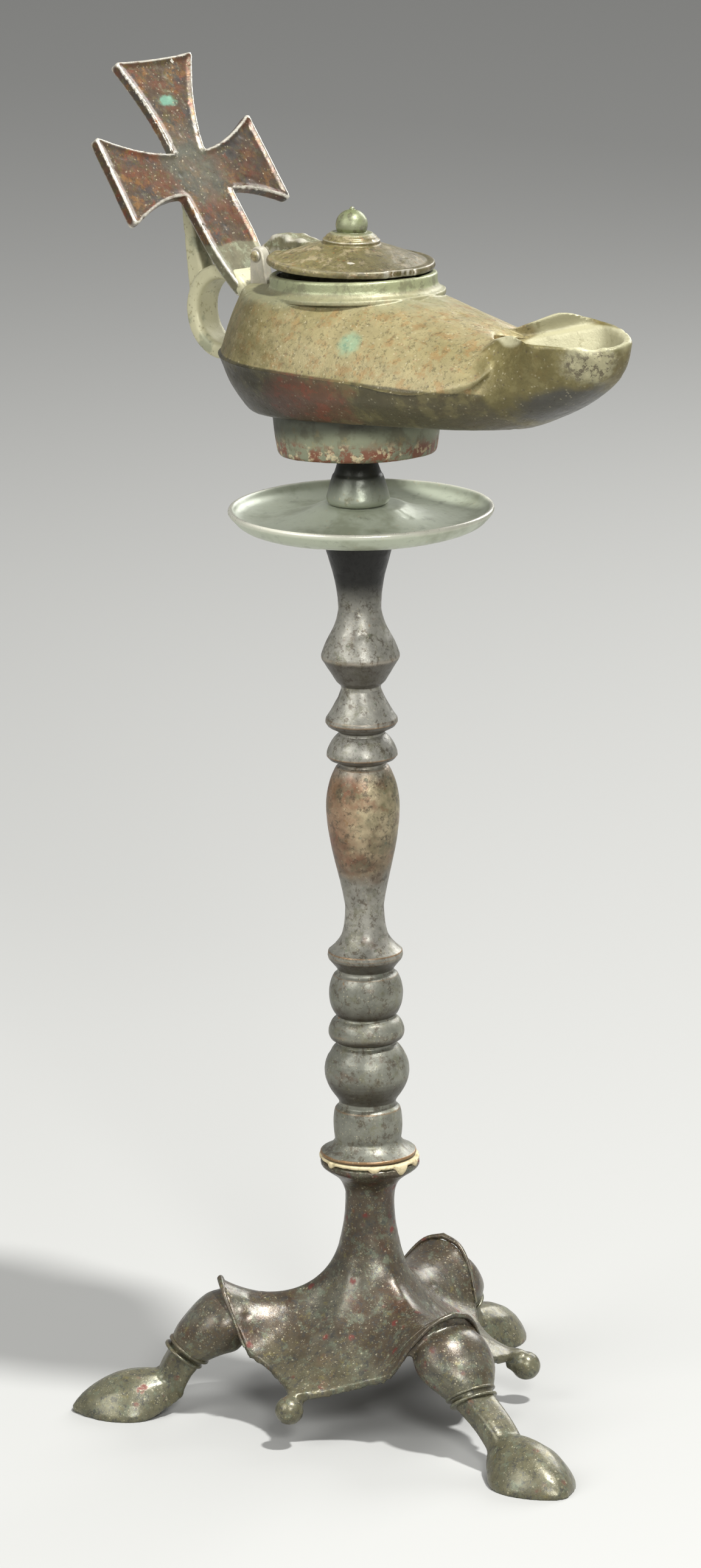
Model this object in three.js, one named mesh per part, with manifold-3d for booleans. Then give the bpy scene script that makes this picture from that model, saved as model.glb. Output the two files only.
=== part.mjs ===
// Bronze oil lamp with its lampstand, late antique, in millimetres with +Z up.
// The nozzle points along +X. The stand leans a little and the lamp sits loosely on its spike,
// so the shaft and the lamp each have a group with a small tilt of their own.
import * as THREE from 'three';
import { mergeVertices } from 'three/addons/utils/BufferGeometryUtils.js';
import Module from 'manifold-3d';

const wasm = await Module();
wasm.setup();

// Gap left between two pieces that touch
const GAP = 0.3;

// Slivers thinner than this are merged away once a solid is finished
const MERGE = 0.03;

// Tripod base
const LEGS = [
  { bearing: 105, reach: 101.5, tip: 167 },
  { bearing: 229, reach: 103.5, tip: 284.5 },
  { bearing: 348, reach: 119, tip: 46.5 },
];
const NECK = { rimRadius: 17.4, rimTop: 89.8, waistRadius: 8.5, waistZ: 75.6, footRadius: 10, footZ: 62 };
const CANOPY = { startRadius: 9.7, startZ: 64, thickness: 2.8, side: 8, steps: 5 };
const CUFF = { reach: 52, lipZ: 47, halfAngle: 23, endRadius: 47.5, endZ: 27 };
const TIP = { reach: 53, z: 18, ballRadius: 5, ballReach: 54.5, ballZ: 13.6 };
const FOOT_PAD = { length: 38.5, halfWidth: 14.5 };

// Shaft, pan and spike, heights from the floor
const SHAFT = { bottom: 91.5, top: 316.9, lean: 0.9, leanBearing: 225, offset: -0.35 };
const FILL = { bottom: 90.1, top: 90.9, radius: 16.9 };
const PAN = { rimZ: 320.2, radius: 45.2, lip: 1.5, valleyRadius: 33, valleyDepth: 4.2, offset: 0.7 };
const SPIKE = { bottom: 321.5, top: 351.9, baseRadius: 10.7, neckRadius: 6.0 };

// Lamp, in its own frame: origin at the collar's foot, u along the nozzle, v to the left, w up
const LAMP = { x: -6.5, y: -1.4, z: 395.0, tilt: 3.9, tiltBearing: 154.4 };
const WALL = 2.6;
const FLOOR_W = -41.6;
const COLLAR = { outer: 28.4, inner: 25.8, height: 5.0, filletRadius: 31.2, filletHeight: 2.4 };
const FOOT_RING = { topRadius: 28.4, bottomRadius: 26.9, inner: 24.2, bottomW: -56.2 };
const SOCKET = { outer: 8.6, bore: 6.9, bottomW: -51 };
const HINGE = { u: -38.6, w: 8.6, barrel: 3.1, pin: 1.25, bore: 1.6, tabHalf: 4.2, lugOuter: 8.0 };
const LID = { radius: 28.6, bottomW: 9.6, centreU: -1.2, lipHeight: 2.4, domeHeight: 7.8, droop: 3.6 };
const KNOB = { discRadius: 9.6, ballRadius: 5.5, ballW: 13.9 };

// Cross handle: s runs up the leaning plate from the crossing, v across it
const CROSS = { u: -74.3, w: 34.7, lean: 34, thickness: 4.4 };
const RING = { u: -60.2, w: -12.4, outer: 16.4, inner: 10.6, halfWidth: 5.8 };

function degrees(angle) {
  return angle * Math.PI / 180;
}

function mix(a, b, t) {
  return a + (b - a) * t;
}

// A value read off a short list of [x, value] pairs, with smooth slopes between them
function along(pairs, x) {
  if (x <= pairs[0][0]) return pairs[0][1];
  for (let i = 1; i < pairs.length; i += 1) {
    if (x <= pairs[i][0]) {
      const t = (x - pairs[i - 1][0]) / (pairs[i][0] - pairs[i - 1][0]);
      const before = pairs[Math.max(i - 2, 0)];
      const after = pairs[Math.min(i + 1, pairs.length - 1)];
      const span = pairs[i][0] - pairs[i - 1][0];
      const slopeIn = (pairs[i][1] - before[1]) / (pairs[i][0] - before[0]) * span;
      const slopeOut = (after[1] - pairs[i - 1][1]) / (after[0] - pairs[i - 1][0]) * span;
      const t2 = t * t;
      const t3 = t2 * t;
      return (2 * t3 - 3 * t2 + 1) * pairs[i - 1][1] + (t3 - 2 * t2 + t) * slopeIn
        + (3 * t2 - 2 * t3) * pairs[i][1] + (t3 - t2) * slopeOut;
    }
  }
  return pairs[pairs.length - 1][1];
}

// Turns a closed geometry into a manifold solid with its faces pointing out
function solid(geometry) {
  const bare = geometry.clone();
  bare.deleteAttribute('normal');
  bare.deleteAttribute('uv');
  const merged = mergeVertices(bare, 1e-4);
  const position = merged.getAttribute('position');
  const index = [];
  let volume = 0;
  const a = new THREE.Vector3();
  const b = new THREE.Vector3();
  const c = new THREE.Vector3();
  for (let i = 0; i < merged.index.count; i += 3) {
    const corners = [merged.index.getX(i), merged.index.getX(i + 1), merged.index.getX(i + 2)];
    if (new Set(corners).size < 3) continue;
    index.push(...corners);
    a.fromBufferAttribute(position, corners[0]);
    b.fromBufferAttribute(position, corners[1]);
    c.fromBufferAttribute(position, corners[2]);
    volume += a.dot(b.cross(c));
  }
  if (volume < 0) {
    for (let i = 0; i < index.length; i += 3) {
      [index[i], index[i + 1]] = [index[i + 1], index[i]];
    }
  }
  return new wasm.Manifold(new wasm.Mesh({
    numProp: 3,
    vertProperties: new Float32Array(position.array),
    triVerts: new Uint32Array(index),
  }));
}

function geometryOf(manifold) {
  const mesh = manifold.simplify(MERGE).getMesh();
  const geometry = new THREE.BufferGeometry();
  geometry.setAttribute('position', new THREE.BufferAttribute(new Float32Array(mesh.vertProperties), 3));
  geometry.setIndex(Array.from(mesh.triVerts));
  geometry.computeVertexNormals();
  return geometry;
}

// Solid turned about the Z axis from an outline drawn with radius across and height up
function turned(outline, segments, divisions = 5) {
  const geometry = new THREE.LatheGeometry(outline.getPoints(divisions), segments);
  geometry.rotateX(Math.PI / 2);
  return solid(geometry);
}

// Closed skin through rings of equally many points, with a fan at each end
function loft(rings) {
  const count = rings[0].length;
  const position = [];
  const index = [];
  for (const ring of rings) {
    for (const point of ring) position.push(...point);
  }
  for (let i = 0; i + 1 < rings.length; i += 1) {
    for (let j = 0; j < count; j += 1) {
      const next = (j + 1) % count;
      const a = i * count + j;
      const b = i * count + next;
      index.push(a, b, b + count, a, b + count, a + count);
    }
  }
  for (const [ring, flip] of [[0, true], [rings.length - 1, false]]) {
    const centre = [0, 1, 2].map((k) => rings[ring].reduce((sum, p) => sum + p[k], 0) / count);
    const tip = position.length / 3;
    position.push(...centre);
    for (let j = 0; j < count; j += 1) {
      const a = ring * count + j;
      const b = ring * count + (j + 1) % count;
      index.push(...(flip ? [b, a, tip] : [a, b, tip]));
    }
  }
  const geometry = new THREE.BufferGeometry();
  geometry.setAttribute('position', new THREE.Float32BufferAttribute(position, 3));
  geometry.setIndex(index);
  return solid(geometry);
}

function cylinder(radius, length, segments = 24) {
  const geometry = new THREE.CylinderGeometry(radius, radius, length, segments);
  geometry.rotateX(Math.PI / 2);
  return solid(geometry);
}

// Cylinder lying along v (the Y axis), centred at u, w
function crossPin(radius, from, to, u, w, segments = 20) {
  return cylinder(radius, to - from, segments).rotate([90, 0, 0]).translate([u, (from + to) / 2, w]);
}

// Plate cut to a shape drawn in u and w, standing between two values of v
function uprightPlate(shape, from, to, divisions = 6) {
  const geometry = new THREE.ExtrudeGeometry(shape, {
    depth: to - from,
    bevelEnabled: false,
    curveSegments: divisions,
  });
  geometry.rotateX(Math.PI / 2);
  return solid(geometry).translate([0, to, 0]);
}

function unite(...solids) {
  return wasm.Manifold.union(solids);
}

// Tripod base

// Degrees turned from one bearing to the next
function turnTo(from, to) {
  return (to - from + 360) % 360;
}

// Bearings around the canopy, each with its share of the way from a leg to the tip beside it
function canopyBearings() {
  const list = [];
  LEGS.forEach(({ bearing, tip }, i) => {
    const middle = bearing + turnTo(bearing, tip);
    const end = bearing + turnTo(bearing, LEGS[(i + 1) % LEGS.length].bearing);
    for (let j = 0; j < CANOPY.side; j += 1) {
      list.push([mix(bearing, middle, j / CANOPY.side), j / CANOPY.side]);
    }
    for (let j = 0; j < CANOPY.side; j += 1) {
      list.push([mix(middle, end, j / CANOPY.side), 1 - j / CANOPY.side]);
    }
  });
  return list;
}

function canopySkin(inward) {
  const rings = [];
  for (let i = 0; i <= CANOPY.steps; i += 1) {
    const t = i / CANOPY.steps;
    const ring = [];
    for (const [bearing, way] of canopyBearings()) {
      const off = way * 60;
      const edgeRadius = along([[0, CUFF.reach], [10, 51.4], [18, 49.2], [CUFF.halfAngle, CUFF.endRadius],
        [32, 44], [46, 45], [56, 50], [60, TIP.reach]], off);
      const edgeZ = along([[0, CUFF.lipZ], [8, 44.5], [16, 36.5], [CUFF.halfAngle, CUFF.endZ],
        [32, 23.4], [46, 20.2], [60, TIP.z]], off);
      const midRadius = along([[0, 36], [25, 28], [60, 30]], off);
      const midZ = along([[0, 36], [20, 33], [60, 27]], off);
      const waist = inward ? [0.5, 44] : [CANOPY.startRadius, CANOPY.startZ];
      const flare = inward ? [10, 42] : [12, 42];
      const drop = inward ? CANOPY.thickness : 0;
      const nodes = [waist, flare, [midRadius, midZ - drop], [edgeRadius - drop * 0.3, edgeZ - drop]];
      const u = 1 - t;
      const weight = [u * u * u, 3 * u * u * t, 3 * u * t * t, t * t * t];
      const radius = weight.reduce((sum, w, k) => sum + w * nodes[k][0], 0);
      const z = weight.reduce((sum, w, k) => sum + w * nodes[k][1], 0);
      ring.push([radius * Math.cos(degrees(bearing)), radius * Math.sin(degrees(bearing)), z]);
    }
    rings.push(ring);
  }
  return rings;
}

function canopy() {
  return loft([...canopySkin(false), ...canopySkin(true).reverse()]);
}

function neck() {
  const outline = new THREE.Path();
  outline.moveTo(0, 58);
  outline.lineTo(10.9, 58);
  outline.lineTo(NECK.footRadius, NECK.footZ);
  outline.quadraticCurveTo(8.6, 68, NECK.waistRadius, NECK.waistZ);
  outline.quadraticCurveTo(8.7, 81, 11.3, 83.4);
  outline.lineTo(14.2, 85.6);
  outline.quadraticCurveTo(17.2, 87.2, NECK.rimRadius, 88.6);
  outline.lineTo(NECK.rimRadius - 0.4, NECK.rimTop);
  outline.lineTo(0, NECK.rimTop);
  return turned(outline, 24, 3);
}

// Limb with an oval section swept down a curve in the leg's own upright plane
function limb(stations, points = 12, squareness = 1) {
  return loft(stations.map(([reach, z, tilt, halfThick, halfWide]) => {
    const ring = [];
    for (let j = 0; j < points; j += 1) {
      const turn = (j + 0.5) * 2 * Math.PI / points;
      const c = Math.sign(Math.cos(turn)) * Math.abs(Math.cos(turn)) ** squareness;
      const s = Math.sign(Math.sin(turn)) * Math.abs(Math.sin(turn)) ** squareness;
      const across = halfThick * c;
      ring.push([
        reach + across * Math.sin(degrees(tilt)),
        halfWide * s,
        z + across * Math.cos(degrees(tilt)),
      ]);
    }
    return ring;
  }));
}

// Leaf-shaped foot lying flat on the floor, plump over the instep and pointed at the tip
function footPad(tip) {
  const rings = [];
  const steps = 8;
  for (let i = 0; i <= steps; i += 1) {
    const t = i / steps;
    const reach = tip - FOOT_PAD.length * (1 - t);
    const half = FOOT_PAD.halfWidth * along([[0, 0.34], [0.16, 0.66], [0.42, 1], [0.66, 0.94],
      [0.86, 0.6], [1, 0.16]], t);
    const top = along([[0, 11], [0.14, 13.8], [0.34, 14.4], [0.58, 13], [0.8, 9.2], [0.93, 5.2], [1, 2]], t);
    const sole = along([[0, 6], [0.16, 3], [0.36, 0], [1, 0]], t);
    const ring = [];
    const count = 10;
    for (let j = 0; j < count; j += 1) {
      const turn = j * Math.PI / (count - 1);
      const rise = Math.max(Math.sin(turn), 0) ** 0.7;
      ring.push([reach, half * Math.cos(turn), mix(sole, top, rise)]);
    }
    rings.push(ring);
  }
  return loft(rings);
}

function leg(reach) {
  const heel = reach - FOOT_PAD.length;
  const thigh = limb([
    [38, 36, 16, 4, 7],
    [44, 34.4, 20, 7, 11],
    [51, 31.2, 28, 9.8, 13.6],
    [57, 27.5, 42, 9.4, 13.2],
    [61, 24, 50, 8.2, 10.6],
    [64, 20.6, 54, 6.6, 7.8],
  ]);
  const anklet = limb([
    [63, 21.4, 54, 6.4, 7.4],
    [63.6, 21, 54, 7.6, 8.6],
    [64.6, 19.6, 54, 7.6, 8.6],
    [65.2, 19.2, 54, 6.2, 7.2],
  ]);
  const shank = limb([
    [63.6, 20.4, 54, 5.8, 6.2],
    [mix(63.6, heel + 5, 0.6), 14.6, 60, 5.4, 5.8],
    [heel + 5, 8.5, 60, 5.2, 5.6],
  ], 8, 0.72);
  return unite(thigh, anklet, shank, footPad(reach));
}

function tripodBase() {
  const ball = solid(new THREE.SphereGeometry(TIP.ballRadius, 10, 7));
  const stalkOutline = new THREE.Path();
  stalkOutline.moveTo(0, 0);
  stalkOutline.lineTo(2.2, 0);
  stalkOutline.lineTo(3.4, 7);
  stalkOutline.lineTo(0, 7);
  const stalk = turned(stalkOutline, 8, 1);
  const pieces = [canopy(), neck()];
  for (const { bearing, reach } of LEGS) pieces.push(leg(reach).rotate([0, 0, bearing]));
  for (const { tip } of LEGS) {
    pieces.push(ball.translate([TIP.ballReach, 0, TIP.ballZ]).rotate([0, 0, tip]));
    pieces.push(stalk.translate([TIP.reach - 3.2, 0, TIP.ballZ - 1]).rotate([0, 0, tip]));
  }
  const below = cylinder(200, 100, 8).translate([0, 0, -50]);
  return unite(...pieces).subtract(below);
}

// Shaft with its turned mouldings, drawn from the flange up

function shaft() {
  const floor = (z) => z - SHAFT.bottom;
  const outline = new THREE.Path();
  outline.moveTo(0, 0);
  outline.lineTo(16.2, 0);
  outline.lineTo(16.7, floor(92.4));
  outline.quadraticCurveTo(12.4, floor(94.2), 11.3, floor(97));
  // Drum and lower bead
  outline.quadraticCurveTo(12.1, floor(102), 11.5, floor(106.5));
  outline.lineTo(9.9, floor(110.6));
  outline.lineTo(10.4, floor(113));
  outline.quadraticCurveTo(18.2, floor(122), 11, floor(130.6));
  outline.lineTo(10.5, floor(132.2));
  outline.quadraticCurveTo(15.5, floor(137), 10.6, floor(141.3));
  outline.quadraticCurveTo(14.6, floor(150.8), 9.9, floor(157.2));
  // Sharp ring under the vase
  outline.lineTo(10.4, floor(159.4));
  outline.lineTo(12.9, floor(162.8));
  outline.lineTo(12.7, floor(164.6));
  outline.lineTo(8.2, floor(169.4));
  outline.quadraticCurveTo(6.9, floor(172), 6.7, floor(180));
  // Vase
  outline.bezierCurveTo(8, floor(191), 12.4, floor(202), 12.6, floor(214.6));
  outline.bezierCurveTo(12.7, floor(221), 10, floor(226), 8.1, floor(230.6));
  // Disc, double cone and long-necked knop
  outline.quadraticCurveTo(14.6, floor(236), 8.2, floor(240.8));
  outline.lineTo(8.4, floor(242.4));
  outline.quadraticCurveTo(13.4, floor(246.6), 11, floor(248.8));
  outline.quadraticCurveTo(8.4, floor(252), 6.7, floor(256.6));
  outline.quadraticCurveTo(7.4, floor(260), 11.4, floor(263.4));
  outline.quadraticCurveTo(15.4, floor(268.8), 11.6, floor(273.4));
  outline.quadraticCurveTo(8.4, floor(277), 7.3, floor(283.6));
  outline.quadraticCurveTo(7.5, floor(292), 9.1, floor(298));
  outline.quadraticCurveTo(10.4, floor(302.6), 11.1, floor(305));
  outline.quadraticCurveTo(12.4, floor(311), 14.4, floor(SHAFT.top));
  outline.lineTo(0, floor(SHAFT.top));
  return turned(outline, 20, 2);
}

function seatingFill() {
  const outline = new THREE.Path();
  outline.moveTo(0, FILL.bottom);
  outline.lineTo(FILL.radius, FILL.bottom);
  outline.lineTo(FILL.radius - 0.2, FILL.top);
  outline.lineTo(0, FILL.top);
  return turned(outline, 36);
}

function dripPan() {
  const floor = (z) => z - SHAFT.bottom;
  const rim = PAN.rimZ;
  const outline = new THREE.Path();
  outline.moveTo(0, floor(rim - 3));
  outline.lineTo(16.2, floor(rim - 3));
  outline.quadraticCurveTo(22, floor(rim - 7.2), 31, floor(rim - 7.6));
  outline.quadraticCurveTo(40.5, floor(rim - 7.4), 43.6, floor(rim - 3.2));
  outline.lineTo(PAN.radius, floor(rim - 1.4));
  outline.quadraticCurveTo(PAN.radius + 0.2, floor(rim + 0.6), PAN.radius - PAN.lip, floor(rim));
  outline.lineTo(42.6, floor(rim - 1.9));
  outline.quadraticCurveTo(40, floor(rim - PAN.valleyDepth), PAN.valleyRadius, floor(rim - PAN.valleyDepth));
  outline.quadraticCurveTo(24, floor(rim - PAN.valleyDepth + 0.2), 15, floor(rim + 0.6));
  outline.quadraticCurveTo(13.8, floor(rim + 1), 12.6, floor(rim + 1));
  outline.lineTo(0, floor(rim + 1));
  return turned(outline, 36, 2);
}

function pricket() {
  const floor = (z) => z - SHAFT.bottom;
  const outline = new THREE.Path();
  outline.moveTo(0, floor(SPIKE.bottom));
  outline.lineTo(9.6, floor(SPIKE.bottom));
  outline.quadraticCurveTo(SPIKE.baseRadius + 0.3, floor(322.3), SPIKE.baseRadius, floor(324));
  outline.quadraticCurveTo(9.6, floor(328.5), 8.6, floor(331.4));
  outline.lineTo(8.1, floor(331.9));
  outline.quadraticCurveTo(6.9, floor(335), SPIKE.neckRadius, floor(340));
  outline.lineTo(4.2, floor(350.6));
  outline.lineTo(3.4, floor(SPIKE.top));
  outline.lineTo(0, floor(SPIKE.top));
  return turned(outline, 16, 2);
}

// Lamp body

// Closed contour from a half outline that runs from the back (u most negative) to the tip.
// Each row is [u, v, w on the near side, w on the far side]; near is -v.
function contour(half, smooth = 2) {
  const near = half.map(([u, v, w]) => new THREE.Vector3(u, -v, w));
  const far = half.map(([u, v, wNear, wFar = wNear]) => new THREE.Vector3(u, v, wFar));
  far.pop();
  far.shift();
  const curve = new THREE.CatmullRomCurve3([...near, ...far.reverse()], true, 'catmullrom', 0.5);
  const count = near.length + far.length;
  return curve.getPoints(count * smooth).slice(0, -1).map((p) => [p.x, p.y, p.z]);
}

// Shrinks a contour toward the middle line by a wall thickness and lifts it
function inset(half, wall, lift) {
  return half.map(([u, v, wNear, wFar = wNear], i) => {
    const last = half.length - 1;
    const shift = mix(wall, -wall, i / last);
    return [u + shift, Math.max(v - wall, v * 0.3), wNear + lift, wFar + lift];
  });
}

// Half outlines of the hull from its flat bottom up to the keel line of the body and the nozzle's rim
const HULL = {
  bottom: [[-40.5, 0, -41.6], [-29, 20, -41.6], [-8.5, 30.4, -41.6], [23, 26.4, -41.6], [47, 20.4, -41.6],
    [61, 16, -41.6], [71, 11, -41.5], [78, 5.4, -41.2], [80, 0, -41.2]],
  turn: [[-42.6, 0, -40], [-30.8, 21.8, -40], [-9.5, 32.8, -40], [25, 29.2, -40], [52, 23.4, -40],
    [67, 18, -39.6], [79, 12, -38.8], [87.5, 6, -38.2], [90, 0, -38]],
  side: [[-48, 0, -32], [-35.5, 24.5, -32], [-11, 38.2, -32], [30, 36, -32.6], [60, 30.4, -33],
    [76, 23, -32], [92, 15.4, -31], [103, 7.6, -31], [106, 0, -31]],
  belly: [[-52.3, 0, -25], [-39.4, 25, -25], [-12, 40.3, -25.2], [32, 38, -27], [64.5, 32, -28.4],
    [79, 22, -25], [98.6, 18, -21.4], [116.4, 7.8, -21], [120, 0, -20.6]],
  rim: [[-53.5, 0, -22], [-40.5, 25.6, -22.2], [-12.5, 41, -23.4], [32.6, 38.6, -25.6], [65, 32.6, -27],
    [81.5, 12.6, -9.4, -4.2], [101.4, 18.6, -9.3, -6.2], [121.4, 7.6, -10.4, -8.3], [124.6, 0, -9.6]],
};

// Half outlines of the shoulder, from inside the hull up to the collar's foot. It is a hipped roof
// whose facets fall from the collar to the keel line and close in toward the nozzle.
const SHOULDER = {
  skirt: [[-46, 0, -27], [-34, 21, -27], [-10, 36.5, -27], [31, 35, -30], [59, 28, -31],
    [71, 22, -30], [74, 13, -28], [68, 6, -26], [65, 0, -26]],
  edge: [[-52.8, 0, -21.9], [-39.8, 25, -22.1], [-12.2, 40.4, -23.3], [32.2, 38, -25.5], [64, 32.2, -26.9],
    [78.4, 26.4, -24.6], [82.4, 16.6, -18], [71, 7, -16], [66.4, 0, -16]],
  wall: [[-50.4, 0, -11], [-37.8, 21.8, -11.4], [-11, 37, -12], [31, 33.4, -16], [62, 27.6, -18.6],
    [76, 20.8, -17.2], [80, 13, -13.6], [70.6, 6, -12.8], [66.4, 0, -12.4]],
  top: [[-47.4, 0, -2.2], [-35, 18.4, -2.4], [-10, 33, -3], [28, 25.4, -7.4], [58, 19.6, -11.4],
    [69.6, 14, -12.2, -13.6], [74, 9.8, -11.2, -13], [70, 4.6, -10.8, -12], [66.6, 0, -11]],
  ledge: [[-45.2, 0, -0.9], [-33, 17.4, -1], [-9.2, 31.2, -1.2], [23, 20.4, -2.8], [48, 11.6, -6],
    [60, 8.2, -8.4], [64.6, 5.6, -9.4], [65.2, 2.8, -9.6], [65.4, 0, -9.8]],
  crown: [[-27, 0, -0.2], [-20, 17, -0.2], [-6, 24.4, -0.2], [12, 16, -0.3], [26, 8.4, -1],
    [35, 5.2, -2], [39.4, 3.4, -2.8], [41.2, 1.6, -3.1], [42, 0, -3.3]],
};

function lampShell() {
  const hull = loft([HULL.bottom, HULL.turn, HULL.side, HULL.belly, HULL.rim].map((half) => contour(half)));
  const shoulder = loft([SHOULDER.skirt, SHOULDER.edge, SHOULDER.wall, SHOULDER.top, SHOULDER.ledge,
    SHOULDER.crown].map((half) => contour(half)));
  return unite(hull, shoulder);
}

// Height of the oil chamber's roof under the open nozzle, and how far that roof stays behind the rim
const NOZZLE_ROOF_W = -17;
const NOZZLE_ROOF_BACK = 5;

// Oil chamber, running forward under the shoulder into the open nozzle
function lampHollow() {
  const keelPoints = 5;
  const roof = HULL.rim.map(([u, v, w], i) => {
    return i < keelPoints ? [u, v, w] : [u - NOZZLE_ROOF_BACK, v, NOZZLE_ROOF_W];
  });
  const chamber = loft([
    contour(inset(HULL.turn, WALL, 1.4)),
    contour(inset(HULL.side, WALL, 0.4)),
    contour(inset(HULL.belly, WALL, 0.2)),
    contour(inset(roof, WALL - 0.2, 0)),
  ]);
  const dome = loft([
    contour(inset(SHOULDER.skirt, WALL, 0)),
    contour(inset(SHOULDER.edge, WALL, 0)),
    contour(inset(SHOULDER.wall, WALL, -0.6)),
    contour(inset(SHOULDER.top, WALL + 0.4, -2.6)),
    contour(inset(SHOULDER.ledge, WALL + 1.2, -2.7)),
    contour(inset(SHOULDER.crown, 4.6, -2.6)),
  ]);
  const mouth = [[66.8, 0], [69.6, 4.6], [75, 8.6], [83.4, 11.2], [92, 14], [101.4, 16.4], [111.6, 11.8],
    [119.6, 5.6], [122.4, 0]];
  const shrunk = (share) => mouth.map(([u, v]) => [mix(96, u, share), v * share]);
  const well = loft([
    contour(shrunk(0.8).map(([u, v]) => [u, v, -20])),
    contour(shrunk(0.92).map(([u, v]) => [u, v, -13])),
    contour(mouth.map(([u, v]) => [u, v, -6])),
    contour(mouth.map(([u, v]) => [u, v, 6])),
  ]);
  const neckBore = cylinder(COLLAR.inner, 30, 36).translate([0, 0, 2]);
  return unite(chamber, dome, well, neckBore);
}

function collar() {
  const outline = new THREE.Path();
  outline.moveTo(COLLAR.inner, -2.6);
  outline.lineTo(COLLAR.filletRadius, -2.6);
  outline.lineTo(COLLAR.filletRadius, -0.4);
  outline.quadraticCurveTo(29.4, 0.6, 29.1, COLLAR.filletHeight);
  outline.lineTo(COLLAR.outer, COLLAR.height - 0.4);
  outline.lineTo(COLLAR.outer - 0.5, COLLAR.height);
  outline.lineTo(COLLAR.inner, COLLAR.height);
  outline.closePath();
  return turned(outline, 36, 2);
}

function footRing() {
  const outline = new THREE.Path();
  outline.moveTo(FOOT_RING.inner + 1.6, FLOOR_W + 1);
  outline.lineTo(FOOT_RING.inner, FOOT_RING.bottomW);
  outline.lineTo(FOOT_RING.bottomRadius - 0.8, FOOT_RING.bottomW);
  outline.lineTo(FOOT_RING.bottomRadius, FOOT_RING.bottomW + 1);
  outline.quadraticCurveTo(28.2, -48, FOOT_RING.topRadius, -44);
  outline.lineTo(FOOT_RING.topRadius + 0.6, FLOOR_W + 1);
  outline.closePath();
  const socket = cylinder(SOCKET.outer, FLOOR_W + 1 - SOCKET.bottomW, 20)
    .translate([0, 0, (FLOOR_W + 1 + SOCKET.bottomW) / 2]);
  const bore = cylinder(SOCKET.bore, 20, 20).translate([0, 0, FLOOR_W - 10]);
  return unite(turned(outline, 36, 2), socket).subtract(bore);
}

// Cross plate drawn flat with v across and s up, then leaned back into place
function crossPlate() {
  const shape = new THREE.Shape();
  shape.moveTo(-5, -47);
  shape.quadraticCurveTo(-9.4, -36, -9.8, -24);
  shape.lineTo(-10.6, -9);
  shape.quadraticCurveTo(-20, -7.4, -36.4, -16.4);
  shape.quadraticCurveTo(-38.2, -17, -38.6, -15.4);
  shape.lineTo(-38.4, 16.4);
  shape.quadraticCurveTo(-38.2, 17.8, -36.8, 17);
  shape.quadraticCurveTo(-20, 8.2, -7, 8);
  shape.quadraticCurveTo(-6.8, 24, -13.6, 43.4);
  shape.quadraticCurveTo(-13.8, 44.8, -12.4, 44.8);
  shape.quadraticCurveTo(3, 43.6, 21.4, 45.4);
  shape.quadraticCurveTo(22.8, 45.6, 22.4, 44);
  shape.quadraticCurveTo(10.6, 24, 8, 8);
  shape.quadraticCurveTo(19, 9, 33.8, 18.8);
  shape.quadraticCurveTo(35.2, 19.4, 35.4, 18);
  shape.lineTo(36.4, -13.6);
  shape.quadraticCurveTo(36.2, -15, 35, -14.6);
  shape.quadraticCurveTo(22, -8, 12, -8.6);
  shape.lineTo(12.8, -24);
  shape.quadraticCurveTo(13, -36, 9, -47);
  shape.closePath();
  const geometry = new THREE.ExtrudeGeometry(shape, {
    depth: CROSS.thickness,
    curveSegments: 4,
    bevelEnabled: false,
  });
  geometry.translate(0, 0, -CROSS.thickness);
  // Shape x is v, shape y is s, and the extrusion depth is the plate's front normal
  const plane = new THREE.Matrix4().makeBasis(
    new THREE.Vector3(0, 1, 0),
    new THREE.Vector3(-Math.sin(degrees(CROSS.lean)), 0, Math.cos(degrees(CROSS.lean))),
    new THREE.Vector3(Math.cos(degrees(CROSS.lean)), 0, Math.sin(degrees(CROSS.lean))),
  );
  plane.setPosition(CROSS.u, 0, CROSS.w);
  geometry.applyMatrix4(plane);
  return solid(geometry);
}

// Finger ring behind the bowl and the strut from it up to the back of the cross
function handleRing() {
  const outline = new THREE.Path();
  const soft = 1.6;
  outline.moveTo(RING.inner + 0.4, -RING.halfWidth + soft);
  outline.quadraticCurveTo(RING.inner + 1, -RING.halfWidth, RING.inner + 2.4, -RING.halfWidth);
  outline.lineTo(RING.outer - soft, -RING.halfWidth);
  outline.quadraticCurveTo(RING.outer, -RING.halfWidth, RING.outer, -RING.halfWidth + soft);
  outline.lineTo(RING.outer, RING.halfWidth - soft);
  outline.quadraticCurveTo(RING.outer, RING.halfWidth, RING.outer - soft, RING.halfWidth);
  outline.lineTo(RING.inner + 2.4, RING.halfWidth);
  outline.quadraticCurveTo(RING.inner + 1, RING.halfWidth, RING.inner + 0.4, RING.halfWidth - soft);
  outline.closePath();
  const ring = turned(outline, 20, 1).rotate([90, 0, 0]).translate([RING.u, 0, RING.w]);
  const strutShape = new THREE.Shape();
  strutShape.moveTo(-77.2, -8);
  strutShape.quadraticCurveTo(-78.6, 8, -80.6, 26);
  strutShape.lineTo(-76, 30);
  strutShape.quadraticCurveTo(-74.4, 12, -70.6, 2);
  strutShape.lineTo(-72, -8);
  strutShape.closePath();
  return unite(ring, uprightPlate(strutShape, -3.4, 3.4, 4));
}

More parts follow.
